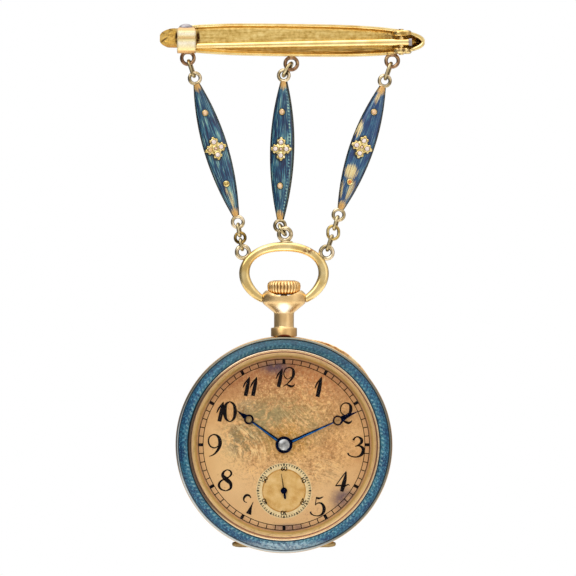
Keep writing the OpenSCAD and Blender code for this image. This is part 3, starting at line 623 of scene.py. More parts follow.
def dial_look():
    """An old enamelled dial: tan, swirled olive round the middle, ochre by the hands and violet stains."""
    look = Look("dial_patina", Roughness=0.55, Specular_IOR_Level=0.25)
    x, y, far = dial_plane(look)
    slow, fine = look.noise(0.22, 4, 0.6), look.noise(1.5, 6, 0.7)
    veins, curls = look.noise(0.42, 6, 0.66, 2.2), look.noise(1.1, 5, 0.68, 1.8)
    look.tone = look.ramp(slow, (0.32, (196, 146, 94)), (0.5, (208, 160, 106)), (0.68, (218, 174, 122)))
    look.tint(y.step(-1.5, -8.0), (216, 178, 130), 0.7)
    look.tint(y.step(3.5, 11.0) * fine.step(0.36, 0.6, 0.45, 1.0), (160, 98, 60), 0.95)
    look.tint(look.spot(4.5, 8.5, 5, 5, 0.9) * fine.step(0.4, 0.6), (214, 140, 80), 0.6)
    look.tint(look.spot(-9.2, -2.5, 4.5, 7.5, 0.9), (226, 188, 134), 0.7)
    look.tint(look.spot(-0.5, 3.0, 10.5, 6.8, 0.7) * veins.step(0.42, 0.56), (146, 126, 80), 0.85)
    look.tint(look.spot(-6.6, 0.8, 4.2, 4.0, 0.8) * veins.step(0.47, 0.55), (138, 128, 98), 0.8)
    look.tint(look.spot(-5.6, 6.0, 2.4, 1.6, 0.8) * fine.step(0.34, 0.5), (150, 138, 108), 0.7)
    look.tint(look.spot(6.5, 2.0, 5.5, 6.0, 0.8) * curls.step(0.47, 0.6), (176, 118, 60), 0.6)
    look.tint(look.spot(0.4, 0.6, 5.0, 4.0, 0.9) * fine.step(0.34, 0.58, 0.3, 1.0), (196, 136, 32), 0.9)
    middle, crumbs = look.spot(0.8, 2.0, 12.8, 11.5, 0.4), look.noise(2.4, 3, 0.8, 0.6)
    look.tint(middle * curls.step(0.53, 0.62), (232, 188, 124), 0.65)
    look.tint(middle * curls.step(0.47, 0.38), (132, 92, 50), 0.6)
    look.tint(middle * crumbs.step(0.54, 0.62), (238, 196, 138), 0.5)
    look.tint(middle * crumbs.step(0.46, 0.38), (136, 92, 52), 0.5)
    for cx, cy, oval, thin, twist, strong in (
            (-9.5, -2.5, (-5.6, 0.4, 5.8, 4.6, 0.8), 2.4, 0.5, 0.75),
            (6.5, 9.0, (2.2, 4.6, 8.0, 5.6, 0.9), 1.6, 1.8, 0.4),
            (2.0, -16.0, (6.0, -3.6, 5.5, 3.6, 0.9), 1.8, 1.8, 0.4)):
        dx, dy, mask = x - cx, y - cy, look.spot(*oval)
        arcs = look.vector(distance(dx, dy) * thin, look.math("ARCTAN2", dy, dx) * 2.6, cx)
        strands = look.noise(1.0, 4, 0.66, twist, at=arcs)
        look.tint(mask * strands.step(0.53, 0.6), (234, 202, 146), strong)
        look.tint(mask * strands.step(0.47, 0.4), (128, 108, 66), strong)
    stain = look.spot(9.3, -8.4, 3.2, 2.8, 0.9) | look.spot(1.2, -12.9, 5.2, 1.0, 0.8) | look.spot(
        -1.4, 12.0, 3.6, 1.7, 0.9)
    look.tint(stain * look.noise(0.8, 5, 0.65).step(0.34, 0.52, 0.3, 1.0), (86, 68, 84), 0.92)
    look.tint(look.spot(-2.6, 4.6, 4.6, 2.8, 0.8) * veins.step(0.4, 0.52), (132, 124, 88), 0.6)
    look.tint(look.spot(3.0, -9.5, 9, 5, 0.8) * curls.step(0.56, 0.66), (182, 136, 96), 0.6)
    look.tint(fine.step(0.6, 0.68), (158, 104, 60), 0.45)
    look.tint(look.noise(2.6, 5, 0.7).step(0.38, 0.3), (236, 200, 150), 0.4)
    look.tint(far.step(12.2, 13.0), (188, 144, 104), 0.45)
    small = distance(x, y + SECONDS_DROP)
    cream = look.ramp(fine, (0.34, (204, 178, 130)), (0.6, (226, 208, 164)))
    look.tint(small.step(4.32, 4.22, 0, 0.9), cream)
    floor = look.ramp(look.noise(0.7, 4, 0.6), (0.32, (192, 146, 78)), (0.5, (208, 168, 104)),
                      (0.7, (218, 184, 128)))
    sunk = small.step(3.36, 3.3)
    look.tint(sunk, floor)
    rim = small.step(3.1, 3.3) * small.step(3.42, 3.34)
    look.tint(rim * fine.step(0.36, 0.56, 0.35, 0.9), (176, 118, 20))
    rings = (small * (2 * math.pi / 0.16)).sine() * sunk
    return look.done(normal=look.bump(rings, 0.25, 0.012, look.bump(fine, 0.12, 0.03)))


def blued(name, dark, light):
    look = Look(name, Metallic=1.0, Roughness=0.24)
    look.tone = look.ramp(look.noise(1.3, 2), (0.3, dark), (0.7, light))
    return look.done()


def grey_steel():
    look = Look("grey_steel", Metallic=1.0, Roughness=0.34)
    look.tone = look.ramp(look.noise(2.2, 3), (0.3, (124, 124, 126)), (0.7, (176, 176, 178)))
    return look.done(normal=look.bump(look.noise(16, 2), 0.2, 0.01))


def clear_stone(name, tint):
    """A small old-cut stone: bright facets in a milky body."""
    look = Look(name, Roughness=0.08, IOR=1.7, Coat_Weight=0.3)
    look.tone = look.mix(look.noise(3.0, 3, 0.6).step(0.35, 0.65, 0, 0.4), tint, (176, 160, 158))
    return look.done()


def pearl_look():
    look = Look("seed_pearl", Roughness=0.28, Coat_Weight=0.5, Coat_Roughness=0.15)
    look.tone = look.ramp(look.noise(1.6, 3), (0.3, (216, 172, 126)), (0.75, (238, 206, 166)))
    return look.done()


def crystal_look():
    """Clear glass that lets the dial show and only mirrors the room at a slant."""
    look = Look("crystal_glass")
    clear, shine = look.node("BsdfTransparent"), look.node("BsdfGlossy")
    shine.inputs["Roughness"].default_value = 0.03
    clear.inputs["Color"].default_value = (0.985, 0.99, 0.985, 1)
    slant = look.value("LayerWeight", 0.06, output="Fresnel")
    both = look.node("MixShader", slant, clear.outputs[0], shine.outputs[0])
    out = next(n for n in look.tree.nodes if n.type == "OUTPUT_MATERIAL")
    look.put(out.inputs["Surface"], both.outputs[0])
    look.tree.nodes.remove(look.bsdf)
    return look.material


def ink():
    look = Look("dial_ink", Roughness=0.6, Specular_IOR_Level=0.1)
    look.tone = look.ramp(look.noise(2.4, 4, 0.6), (0.45, (8, 5, 8)), (0.8, (40, 24, 22)))
    return look.done()


polished = gold("polished_gold", (246, 224, 164), (226, 190, 118), 0.17, 0.05)
case_gold = gold("case_gold", (240, 212, 158), (214, 178, 116), 0.26, 0.1)
gilt = gold("gilt_plate", (226, 196, 126), (206, 170, 100), 0.3, 0.15)
knuckle_gold = gold("knuckle_gold", (156, 134, 92), (96, 76, 50), 0.36, 0.3)
grey_metal = gold("grey_metal", (160, 156, 160), (112, 108, 112), 0.4, 0.1)
dark_eye = wire_look("bar_eye_gold", (0.3, (84, 54, 44)), (0.5, (152, 118, 88)), (0.72, (208, 178, 136)))
ring_gold = wire_look("ring_gold", (0.36, (132, 118, 88)), (0.5, (188, 170, 130)), (0.64, (236, 218, 186)))
wire_gold = wire_look("link_gold", (0.34, (146, 130, 92)), (0.5, (194, 178, 136)), (0.66, (236, 222, 184)))
olive_gold = wire_look("olive_link_gold", (0.34, (124, 100, 52)), (0.5, (186, 160, 96)),
                       (0.66, (228, 208, 150)))
brown_gold = wire_look("brown_link_gold", (0.34, (72, 56, 26)), (0.5, (134, 108, 54)), (0.66, (200, 168, 96)))
lip_gold = wire_look("lip_gold", (0.36, (176, 116, 62)), (0.5, (222, 182, 130)), (0.62, (248, 228, 186)))
steel_blue = blued("blued_steel", (3, 4, 12), (8, 20, 54))
# a brighter blue for the painted highlight along one side of each hand's blade
steel_bright = blued("blued_steel_ridge", (20, 84, 156), (60, 140, 210))
steel_grey, black, pearl = grey_steel(), ink(), pearl_look()
white_stone = clear_stone("white_stone", (238, 226, 224))
pale_stone = clear_stone("pinkish_stone", (226, 190, 170))
yellow_stone = clear_stone("yellowed_stone", (220, 180, 106))


# Brooch
END_TOP, END_FOOT = 1.56, 1.41  # the left end's half height over and under the bar's middle line
FLOOR_EDGE = -0.64  # where the floor's fillet meets the rim
HINGE_HOLLOW, HOLLOW_FROM, HOLLOW_SLOPE = 0.84, 16.8, 0.7  # how much lower the floor is beside the hinge
END_FILL, FILL_FROM, FILL_SLOPE = -0.88, -14.6, 1.4  # the floor's place past the catch
PIN_TAIL = 1.65  # from the rivet to the pin's butt
LUG_HEIGHTS = [(0.56, 1.5), (-2.1, -1.2)]
LUG_MIDDLE, LUG_REACH, LUG_FEET = (18.15, 0.3), (1.5, 2.2), (16.7, 19.6)


def bar_half(t, limit=END_FOOT):
    """Half the bar's height at a share of its half length. Past the catch it is no taller than the limit."""
    tall, power = BAR_HEIGHT / 2, 0.4 if t > 0 else 0.34
    return min(tall * (1 - abs(t) ** 3) ** power, mixed(tall, limit, clamped((-0.77 - t) / 0.09)))


def bar_ring(inset, y, steps=36):
    """Points round the bar at a depth, drawn in from its outline by the inset."""
    lean = math.radians(BAR_LEAN)
    stops = [math.sin(math.pi / 2 * i / steps) * 0.998 for i in range(-steps, steps + 1)]

    def edge(limit):
        return [(t * (BAR_LENGTH / 2 - inset), max(bar_half(t, limit) - inset, 0.05)) for t in stops]

    ring = edge(END_TOP) + [(x, -z) for x, z in reversed(edge(END_FOOT))]
    return [(BAR_MID_X + x * math.cos(lean) + z * math.sin(lean), y, z * math.cos(lean) - x * math.sin(lean))
            for x, z in ring]


def bar_bottom(x):
    lean = math.tan(math.radians(BAR_LEAN))
    return -bar_half((x - BAR_MID_X) / (BAR_LENGTH / 2)) - (x - BAR_MID_X) * lean


def bar_shell():
    """A hollow shell: floor and fillet, rim, outer wall and the domed front that faces away. The floor is
    lower beside the hinge, and past the catch it is filled nearly level with the rim."""
    floor = [(1.0, -0.2), (0.8, -0.23), (0.66, -0.3), (0.56, -0.42), (0.5, -0.54), (0.48, FLOOR_EDGE)]
    rim = [(0.48, FLOOR_EDGE), (0.42, -0.78), (0.36, -0.85), (0.27, -0.9), (0.13, -0.9), (0.04, -0.86),
           (0, -0.76), (0, 0.45), (0.1, 0.72), (0.35, 0.95), (0.72, 1.2), (1.2, 1.38), (1.4, 1.4)]
    shape = Shape().grid([bar_ring(*stop) for stop in floor], kind=1)
    inner_count, width = len(shape.verts), len(shape.verts) // len(floor)
    for i in range(width // 2 - 1):
        shape.faces.append((i, i + 1, width - 2 - i, width - 1 - i))
        shape.kinds.append(1)
    shape.add(Shape().grid([bar_ring(*stop) for stop in rim], caps=(False, True)))
    for i, (x, y, z) in enumerate(shape.verts):
        if i < inner_count:
            sunk = min((FLOOR_EDGE - y) / (FLOOR_EDGE - floor[0][1]), 1)
            y += HINGE_HOLLOW * (clamped((x - HOLLOW_FROM) / HOLLOW_SLOPE) * sunk)
        if i < inner_count or y < -0.5:
            y = mixed(y, END_FILL, clamped((FILL_FROM - x) / FILL_SLOPE))
        shape.verts[i] = (x, y, z)
    return shape


def strip(path, thick, from_x, to_x, edge=0.06):
    """A strap with softened edges: a centre line of (y, z) points, extruded along X."""
    rows = []
    thin = thick - 2 * edge
    for x, t in ((from_x, thin), (from_x + edge, thick), (to_x - edge, thick), (to_x, thin)):
        sides = ([], [])
        for i, (y, z) in enumerate(path):
            ahead, behind = path[min(i + 1, len(path) - 1)], path[max(i - 1, 0)]
            way = Vector((ahead[0] - behind[0], ahead[1] - behind[1])).normalized()
            for side, sign in zip(sides, (1, -1)):
                side.append((x, y - sign * way[1] * t / 2, z + sign * way[0] * t / 2))
        rows.append(sides[0] + sides[1][::-1])
    return Shape().grid(rows, caps=(True, True))


def catch_strap():
    """The catch: a strap from the bar's floor over its front, that hooks round under the pin's tip."""
    r, middle = 0.94, sum(CATCH_X) / 2
    hook = [(PIN_Y + r * math.cos(math.radians(a)), PIN_TIP[1] + r * math.sin(math.radians(a)))
            for a in range(180, 291, 10)]
    top = [(0.8, 1.86), (-1.0, 1.86), (-1.35, 1.82), (-1.6, 1.7), (-1.85, 1.45), (-1.98, 1.1), (-1.98, 0.62)]
    seam = [(-1.88, 0.5), (-1.88, 0.42), (-2.0, 0.3), (-2.07, 0.1), (-2.09, -0.3)]
    strap = strip(top + seam + hook, 0.32, *CATCH_X)

    def width(z):
        return 1 - 0.22 * clamped((z - 1.45) / 0.55) ** 1.6

    strap.verts = [(middle + (x - middle) * width(z), y, z) for x, y, z in strap.verts]
    return strap


def hinge_lug(low, high):
    """A plate of the hinge: round in front, about the rivet, and straight back to the bar's floor."""
    rows, (mid_x, mid_y), (wide, deep), (left, right) = [], LUG_MIDDLE, LUG_REACH, LUG_FEET
    edge = [(0.3, 0), (0.12, 0.06), (0, 0.22)]
    levels = [(inset, low + rise) for inset, rise in edge]
    for inset, z in levels + [(inset, high - rise) for inset, rise in edge[::-1]]:
        loop = [(mid_x + (wide - inset) * math.copysign(abs(math.cos(a)) ** 0.6, math.cos(a)),
                 mid_y - (deep - inset) * math.sin(a) ** 0.6) for a in (math.pi * k / 24 for k in range(25))]
        rows.append([(x, y, z) for x, y in [(right - inset, 0.8), *loop, (left + inset, 0.8)]])
    return Shape().grid(rows, caps=(True, True))


def eye(place, ring, foot_top=None):
    """A wire eye, with a foot of solder up to the given height."""
    ring_r, wire = ring
    shape = soft_ring(ring_r, wire).moved(at(*place))
    if foot_top is not None:
        rise = foot_top - place[1] - ring_r
        foot = lathe([(0.3, -0.35), (0.42, -0.1), (0.44, rise * 0.4), (0.6, rise)], 24, closed=False)
        shape.add(foot.moved(at(place[0], place[1] + ring_r)))
    return shape


def pin():
    """A tapered stem with a boss round its rivet and a cut ring, grey where it is worn, behind the hinge."""
    tip, hinge = Vector(PIN_TIP), Vector(PIN_HINGE)
    butt = hinge - (tip - hinge).normalized() * PIN_TAIL
    length = (tip - butt).length
    stem = lathe([(0.02, 0), (0.5, 0), (0.59, 0.1), (0.6, 0.4), (0.42, length - 1.4), (0.3, length - 0.7),
                  (0.16, length - 0.2), (0.06, length)], 32, closed=False)
    lying = at(*butt, PIN_Y) @ Matrix.Rotation(math.atan2(tip[0] - butt[0], tip[1] - butt[1]), 4, "Y")
    boss = lathe([(0.36, -1.12), (0.44, -1.04), (0.44, 0.4), (0.36, 0.48)], 32, closed=False)
    cut = lathe([(0.3, -0.01), (0.6, -0.01), (0.62, 0.02), (0.62, 0.5), (0.59, 0.53), (0.3, 0.53)], 32)
    return stem.moved(lying).add(boss.moved(at(PIN_HINGE[0], 0, PIN_Y))).add(cut.moved(lying), kind=1)


bar = bar_shell().add(catch_strap(), kind=3)
dome = ball(1.0, 32).moved(Matrix.Diagonal((1.1, 0.5, 0.66, 1)))
bar.add(dome.moved(at(-15.1, 1.83, -1.1)), kind=4)
for low, high in LUG_HEIGHTS:
    bar.add(hinge_lug(low, high))
for place in BAR_EYES:
    bar.add(eye(place, BAR_EYE, bar_bottom(place[0]) + 0.2), kind=2)
BAR_LOOKS = [bar_gold(), floor_gold(), dark_eye, catch_look(), grey_metal]  # a face's kind counts along them
bar.piece("bar", BAR_LOOKS, "brooch", "gold", ["brooch_bar"], use_uvs=True)
pin().piece("pin", [polished, grey_metal], "pin", "gold", ["pin_stem"])


# Links and chains
LINK_TURN = 77  # degrees from face on to nearly edge on
PLAY = 0.03  # between two wires that hang in each other


def oval_path(length, width, steps=36):
    straight = (length - width) / 2
    return [(width / 2 * math.cos(a), width / 2 * math.sin(a) + math.copysign(straight, math.sin(a)))
            for a in turn(steps, 0.5)]


def along(a, b, far):
    """A place on the line from a to b, far from a."""
    a, b = Vector(a), Vector(b)
    return a + (b - a).normalized() * far


def hung_link(a, b, width, depth=0.0):
    """A link that hangs between two places of the XZ plane, turned until it shows nearly edge on."""
    middle, down = (Vector(a) + Vector(b)) / 2, Vector(a) - Vector(b)
    way = at(*middle, depth) @ Matrix.Rotation(math.atan2(*down), 4, "Y") @ about("Z", LINK_TURN)
    return tube(oval_path(down.length, width), LINK_WIRE).moved(way)


def seat(ring_r, ring_wire):
    """How far from a ring's middle the wire of a link lies in it."""
    return ring_r - (ring_wire + LINK_WIRE) / 2 - PLAY


def ring_up(panel):
    return Vector(PANELS[panel][TOP_X:DEPTH])


def below(panel, far):
    """A place down a panel's middle line, far from its upper ring."""
    lean = math.radians(PANELS[panel][LEAN])
    return ring_up(panel) + Vector((math.sin(lean), -math.cos(lean))) * far


def ring_down(panel):
    return below(panel, PANELS[panel][UP] + PANELS[panel][DOWN])


BAR_SEAT, PANEL_SEAT, BOW_SEAT = seat(*BAR_EYE), seat(PANEL_RING, PANEL_WIRE), seat(*BOW_EYE)
LEFT_RING, LEFT_RING_SIZE = (-6.75, -30.45), (0.77, 0.77)
RIGHT_RING, RIGHT_RING_SIZE = (7.59, -29.65), (0.84, 1.02)


def link_between(a, a_seat, b, b_seat):
    return hung_link(along(a, b, a_seat), along(b, a, b_seat), 1.24)


def face_ring(place, size):
    return tube(oval_path(2 * size[1], 2 * size[0]), LINK_WIRE).moved(at(*place))


side_seat = {"left": seat(LEFT_RING_SIZE[1], LINK_WIRE), "right": seat(RIGHT_RING_SIZE[1], LINK_WIRE)}
links = {
    "upper_link_left": link_between(BAR_EYES[0], BAR_SEAT, ring_up("left"), PANEL_SEAT),
    "upper_link_centre": hung_link(along(BAR_EYES[1], ring_up("centre"), -0.12),
                                   along(ring_up("centre"), BAR_EYES[1], -0.12), 1.9, 0.33),
    "upper_link_right": link_between(BAR_EYES[2], BAR_SEAT, ring_up("right"), PANEL_SEAT),
    "left_link_upper": link_between(ring_down("left"), PANEL_SEAT, LEFT_RING, side_seat["left"]),
    "left_ring": face_ring(LEFT_RING, LEFT_RING_SIZE),
    "left_link_lower": link_between(LEFT_RING, side_seat["left"], BOW_EYES[0], BOW_SEAT),
    "centre_link": hung_link(along(ring_down("centre"), BOW_EYES[1], -0.15),
                             along(BOW_EYES[1], ring_down("centre"), -0.12), 1.82, 0.32),
    "right_link_upper": link_between(ring_down("right"), PANEL_SEAT, RIGHT_RING, side_seat["right"]),
    "right_ring": face_ring(RIGHT_RING, RIGHT_RING_SIZE),
    "right_link_lower": link_between(RIGHT_RING, side_seat["right"], BOW_EYES[2], BOW_SEAT),
}
for name, shape in links.items():
    finish = {"left_ring": brown_gold, "right_ring": olive_gold}.get(name, wire_gold)
    shape.piece("seen_" + name, finish, "brooch", "dull_gold", [name], use_uvs=True)


# Panels
def hang(panel):
    """From a panel's own frame, flower at the origin and length up Z, to the row frame."""
    depth, lean, twist = PANELS[panel][DEPTH:UP]
    flower = below(panel, PANELS[panel][UP])
    return at(*flower, depth) @ about("Y", -lean) @ about("Z", twist)


def panel_stops(panel, inset, steps=26):
    top, bottom = (PANELS[panel][i] - PANEL_RING - inset for i in (UP, DOWN))
    return [-bottom + (top + bottom) * i / (2 * steps) for i in range(2 * steps + 1)]


def panel_ring(panel, inset, y):
    stops = panel_stops(panel, inset)
    edge = [(panel_half(panel, z, inset), y, z) for z in stops]
    return edge + [(-x, y, z) for x, y, z in reversed(edge)]


def cup(z, hollow):
    """A pearl's cup, and an empty one is open with a thin wall."""
    inner = 0.3 if hollow else 0.36
    profile = [(0.5, 0.05), (0.47, 0.6), (0.45, 0.68), (0.4, 0.7), (inner, 0.66), (inner - 0.02, 0.55),
               (0.02, 0.53)]
    return lathe(profile, 28, closed=False).moved(at(0, z) @ about("X", 90))


def lobe(x, z, r, top=0.68):
    """A bead of the setting, domed in front."""
    profile = [(r, 0.05), (r, top - 0.2), (r * 0.92, top - 0.09), (r * 0.7, top - 0.02),
               (r * 0.35, top + 0.02), (0.01, top + 0.03)]
    return lathe(profile, 18, closed=False).moved(at(x, z) @ about("X", 90))


def flower(bent=None):
    """Four petals round a boss, each a rim about its stone and three lobes. A bent one has a long tip."""
    shape, facing = Shape(), about("X", 90)
    collet = [(0.6, 0.05), (0.6, 0.52), (0.57, 0.6), (0.5, 0.66), (0.42, 0.68), (0.37, 0.64), (0.34, 0.4),
              (0.02, 0.4)]
    for i, (x, z) in enumerate(PETALS):
        out = Vector((x, z)).normalized()
        shape.add(lathe(collet, 28, closed=False).moved(at(x, z) @ facing))
        for spin, far, size in ((0, 0.56, 0.28), (66, 0.52, 0.24), (-66, 0.52, 0.24)):
            way = Matrix.Rotation(math.radians(spin), 2) @ out
            place = Vector((x, z)) + way * far
            shape.add(lobe(*place, size, 0.66))
        if i == bent:
            for step in range(1, 5):
                place = Vector((x, z)) + out * (0.52 + 0.11 * step)
                shape.add(lobe(place[0], place[1] - 0.02 * step, 0.25 - 0.045 * step, 0.66 - 0.03 * step))
    boss = lathe([(0.98, 0.05), (0.98, 0.56), (0.9, 0.6), (0.5, 0.62), (0.3, 0.68), (0.22, 0.6), (0.02, 0.6)],
                 36, closed=False)
    return shape.add(boss.moved(facing))


def plate(panel):
    """A panel's gold plate with its milled edge, flower and two end rings."""
    rows = [(0.1, 0.45), (0.0, 0.38), (0.0, 0.0), (0.05, -0.07), (0.12, -0.1), (0.2, -0.07), (0.3, -0.05)]
    shape = Shape().grid([panel_ring(panel, inset, y) for inset, y in rows], caps=(True, True), kind=1)
    shape.kinds[-2] = 4  # the back
    shape.add(flower(3 if panel == "left" else None))
    for z in (PANELS[panel][UP], -PANELS[panel][DOWN]):
        shape.add(soft_ring(PANEL_RING, PANEL_WIRE).moved(at(0, z)), kind=2)
        neck = ball(0.5, 20).moved(Matrix.Diagonal((0.9, 0.5, 1.1, 1)))
        shape.add(neck.moved(at(0, math.copysign(abs(z) - PANEL_RING - 0.25, z), 0.12)))
    return shape


def enamel_form(panel):
    """A low dome of enamel over the plate, with the map that its look needs."""
    columns, inset = 18, 0.13
    stops = panel_stops(panel, inset)
    rows, uvs = [], []
    for z in stops:
        half = panel_half(panel, z, inset)
        tall = 0.12 + 0.35 * min(1, half / 1.1)
        row = [(half * u, -0.09 - tall * (1 - abs(u) ** 2.6) ** 0.7, z)
               for u in (-1 + 2 * k / columns for k in range(columns + 1))]
        rows.append(row + [(half, -0.06, z), (-half, -0.06, z)])
        uvs.append([(-1 + 2 * k / columns, z) for k in range(columns + 1)] + [(1, z), (-1, z)])
    return Shape().grid(rows, caps=(True, True), uvs=uvs)


ENAMELS = {
    "left": enamel(
        "left", 3.0, 0.08, worn=[(0.05, -8.4, 0.6, 2.4, 0.7), (-0.25, -6.9, 0.35, 1.3, 0.6)],
        pale=[(0.1, -7.6, 0.75, 2.4, 0.3), (-0.5, 1.5, 0.4, 3.5, -0.08)]),
    "centre": enamel(
        "centre", 11.0, 0.08, rope=0.22,
        pale=[(0.3, -7.0, 0.5, 3.0, 0.12), (0.1, -2.5, 0.5, 2.0, -0.12), (0.7, 3.5, 0.3, 5.0, 0.12)]),
    "right": enamel(
        "right", 19.0, 0.5, tips=(1.4, 1.3), pale=[(0.0, -3.0, 0.9, 1.6, 0.1), (-0.4, 6.4, 0.6, 3.0, 0.1)],
        worn=[(-0.8, 2.6, 0.55, 2.2, 0.95), (-0.2, -4.2, 1.0, 2.0, 1.1), (0.4, -7.0, 0.65, 2.8, 0.95),
              (-0.75, -7.2, 0.5, 2.4, 0.85), (-0.2, 8.2, 0.75, 2.0, 0.85)]),
}
PLATE_LOOKS = [setting_gold(), plate_edge(), ring_gold, residue(), gilt]  # a face's kind counts along them
EMPTY = {("left", -1), ("right", -1)}  # the cups that have lost their pearls
for panel in PANELS:
    front = plate(panel)
    for side in (1, -1):
        front.add(cup(side * PEARL_OFFSET, (panel, side) in EMPTY))
    if panel != "centre":  # what is left in an empty cup: a gold bead, and cement in the right one
        front.add(ball(0.3, 16).moved(at(0, -PEARL_OFFSET, -0.5)), kind=3 if panel == "right" else 0)
    front.moved(hang(panel))
    front.piece("plate_" + panel, PLATE_LOOKS, "brooch", "gold", ["panel_" + panel], use_uvs=True)
    glaze = enamel_form(panel).moved(hang(panel))
    glaze.piece("glaze_" + panel, ENAMELS[panel], "brooch", "blue_enamel", ["enamel_" + panel], use_uvs=True)
    for side, word in ((1, "upper"), (-1, "lower")):
        if (panel, side) in EMPTY:
            continue
        bead = ball(0.36, 24).moved(hang(panel) @ at(0, side * PEARL_OFFSET, -0.68))
        bead.piece("bead_%s_%s" % (panel, word), pearl, "brooch", "pearl", ["pearl_%s_%s" % (panel, word)])


# Bow and crown
BOW_Z, BOW_OUTER, BOW_INNER, BOW_T = -35.95, 6.92, 5.3, 1.3
PIVOT_X, PIVOT_Z = 3.48, -39.8
BOW_END, BOW_INNER_END = math.radians(60.4), math.radians(47.4)


def oval(a, across, up, fullness):
    """A point of an oval at an angle. A fullness of 2 is an ellipse, and more is squarer."""
    c, s = math.cos(a), math.sin(a)
    return Vector((math.copysign(across * abs(c) ** (2 / fullness), c),
                   math.copysign(up * abs(s) ** (2 / fullness), s) + BOW_Z))


def bow_edges(a):
    """The bow's outer and inner edges. Below its middle the oval draws in to the cup."""
    if 0 <= a <= math.pi:
        return oval(a, BOW_OUTER, 4.86, 2), oval(a, BOW_INNER, 3.39, 2.3)
    past = -a if a < 0 else a - math.pi
    outer = oval(-past, BOW_OUTER, 5.2, 2)
    inner = oval(-past * BOW_INNER_END / BOW_END, BOW_INNER, 4.7, 1.7)
    for edge in (outer, inner):
        edge[0] = math.copysign(edge[0], -a)
    return outer, inner


def bow_hoop(steps=140):
    """An oval wire whose section is a soft square, and whose ends stand square to the cup."""
    rows = []
    for a in (-BOW_END + (math.pi + 2 * BOW_END) * i / steps for i in range(steps + 1)):
        outer, inner = bow_edges(a)
        middle, half = (outer + inner) / 2, (outer - inner) / 2
        row = []
        for q in turn(24):
            across, deep = (math.copysign(abs(c) ** 0.8, c) for c in (math.cos(q), math.sin(q)))
            row.append((middle[0] + half[0] * across, BOW_T / 2 * deep, middle[1] + half[1] * across))
        rows.append(row)
    return Shape().grid(rows, caps=(True, True))


def solder(place):
    """A fillet between an eye and the nearest place of the bow."""
    edges = [bow_edges(math.radians(a))[0] for a in range(0, 181, 2)]
    way = (min(edges, key=lambda p: (p - Vector(place)).length) - Vector(place)).normalized()
    middle = Vector(place) + way * 1.4
    blob = ball(1.0, 24).moved(Matrix.Diagonal((1.15, 0.5, 0.5, 1)))
    return blob.moved(at(*middle) @ Matrix.Rotation(math.atan2(*way), 4, "Y"))


bow = bow_hoop()
for side in (1, -1):
    pivot = lathe([(0.45, -0.9), (0.45, 0.2)], 28, closed=False)
    bow.add(pivot.moved(at(side * PIVOT_X, PIVOT_Z) @ about("Y", side * 90)))
for place in BOW_EYES:
    bow.add(eye(place, BOW_EYE), kind=1)
    bow.add(solder(place), kind=1)
bow.piece("bow_ring", [bow_gold(), ring_gold], "brooch", "gold", ["bow"], use_uvs=True)


def gadroon(a, i):
    """The crown's swelling ribs, which fade out at its two ends."""
    depth = (0.05, 0.085, 0.075, 0.07, 0.07, 0.06, 0.04, 0.01, 0.0)[i]
    return 1 - depth * (1 - abs(math.sin(CROWN_RIBS / 2 * a)) ** 0.8)


CROWN_TURNED = [(0.6, 0.02), (0.79, 0.06), (0.93, 0.22), (0.985, 0.42), (1.0, 0.62), (0.97, 0.8),
                (0.86, 0.92), (0.62, 0.99), (0.3, 1.0)]  # shares of the crown's radius and height
crown = lathe([(r * CROWN_R, CROWN_Z[0] + h * (CROWN_Z[1] - CROWN_Z[0])) for r, h in CROWN_TURNED],
              CROWN_RIBS * 10, False, gadroon)
crown.piece("onion_crown", crown_gold(), "crown", "rose_gold", ["crown"], sharp=60)


# Case
HINGE_Y, HINGE_Z = -15.4, -1.8  # the back's hinge, in the dial's frame
KNUCKLE = 4.89  # half the length of the back's own knuckle
LIP = (-2.18, -1.78)
LIP_TURN = 33  # degrees clockwise from twelve
BACK_FLAT = -14.75  # where the back is cut straight beside its hinge
BEZEL_TURNED = [(13.3, 1.42), (13.45, 1.9), (13.95, 2.6), (14.2, 2.72), (14.28, 2.74), (14.33, 3.0),
                (14.36, 3.42), (14.4, 3.47), (14.46, 3.49), (14.62, 3.49), (14.68, 3.45), (14.79, 3.3),
                (14.8, 3.05), (16.26, 2.25), (16.26, 2.5), (16.3, 2.6), (16.42, 2.62), (16.54, 2.55),
                (16.6, 2.4), (16.6, 1.75), (14.6, 1.75), (14.6, 1.42)]
lathe(BEZEL_TURNED, 256).moved(dial_frame()).piece("bezel_rim", bezel_gold(), "watch", "gold", ["bezel"])
ENAMEL_TURNED = [(14.84, 3.09), (14.84, 3.27), (14.9, 3.32), (15.2, 3.34), (15.55, 3.22), (15.9, 2.98),
                 (16.1, 2.8), (16.2, 2.66), (16.22, 2.55), (16.22, 2.29)]
lathe(ENAMEL_TURNED, 256).moved(dial_frame()).piece("bezel_glaze", bezel_enamel(), "watch", "blue_enamel",
                                                    ["bezel_enamel"])


def scallop(x):
    """Height of the cup's curved mouth, over the watch's middle line by x."""
    r, middle = 4.07, -35.34
    return middle - math.sqrt(max(r * r - x * x, 0))


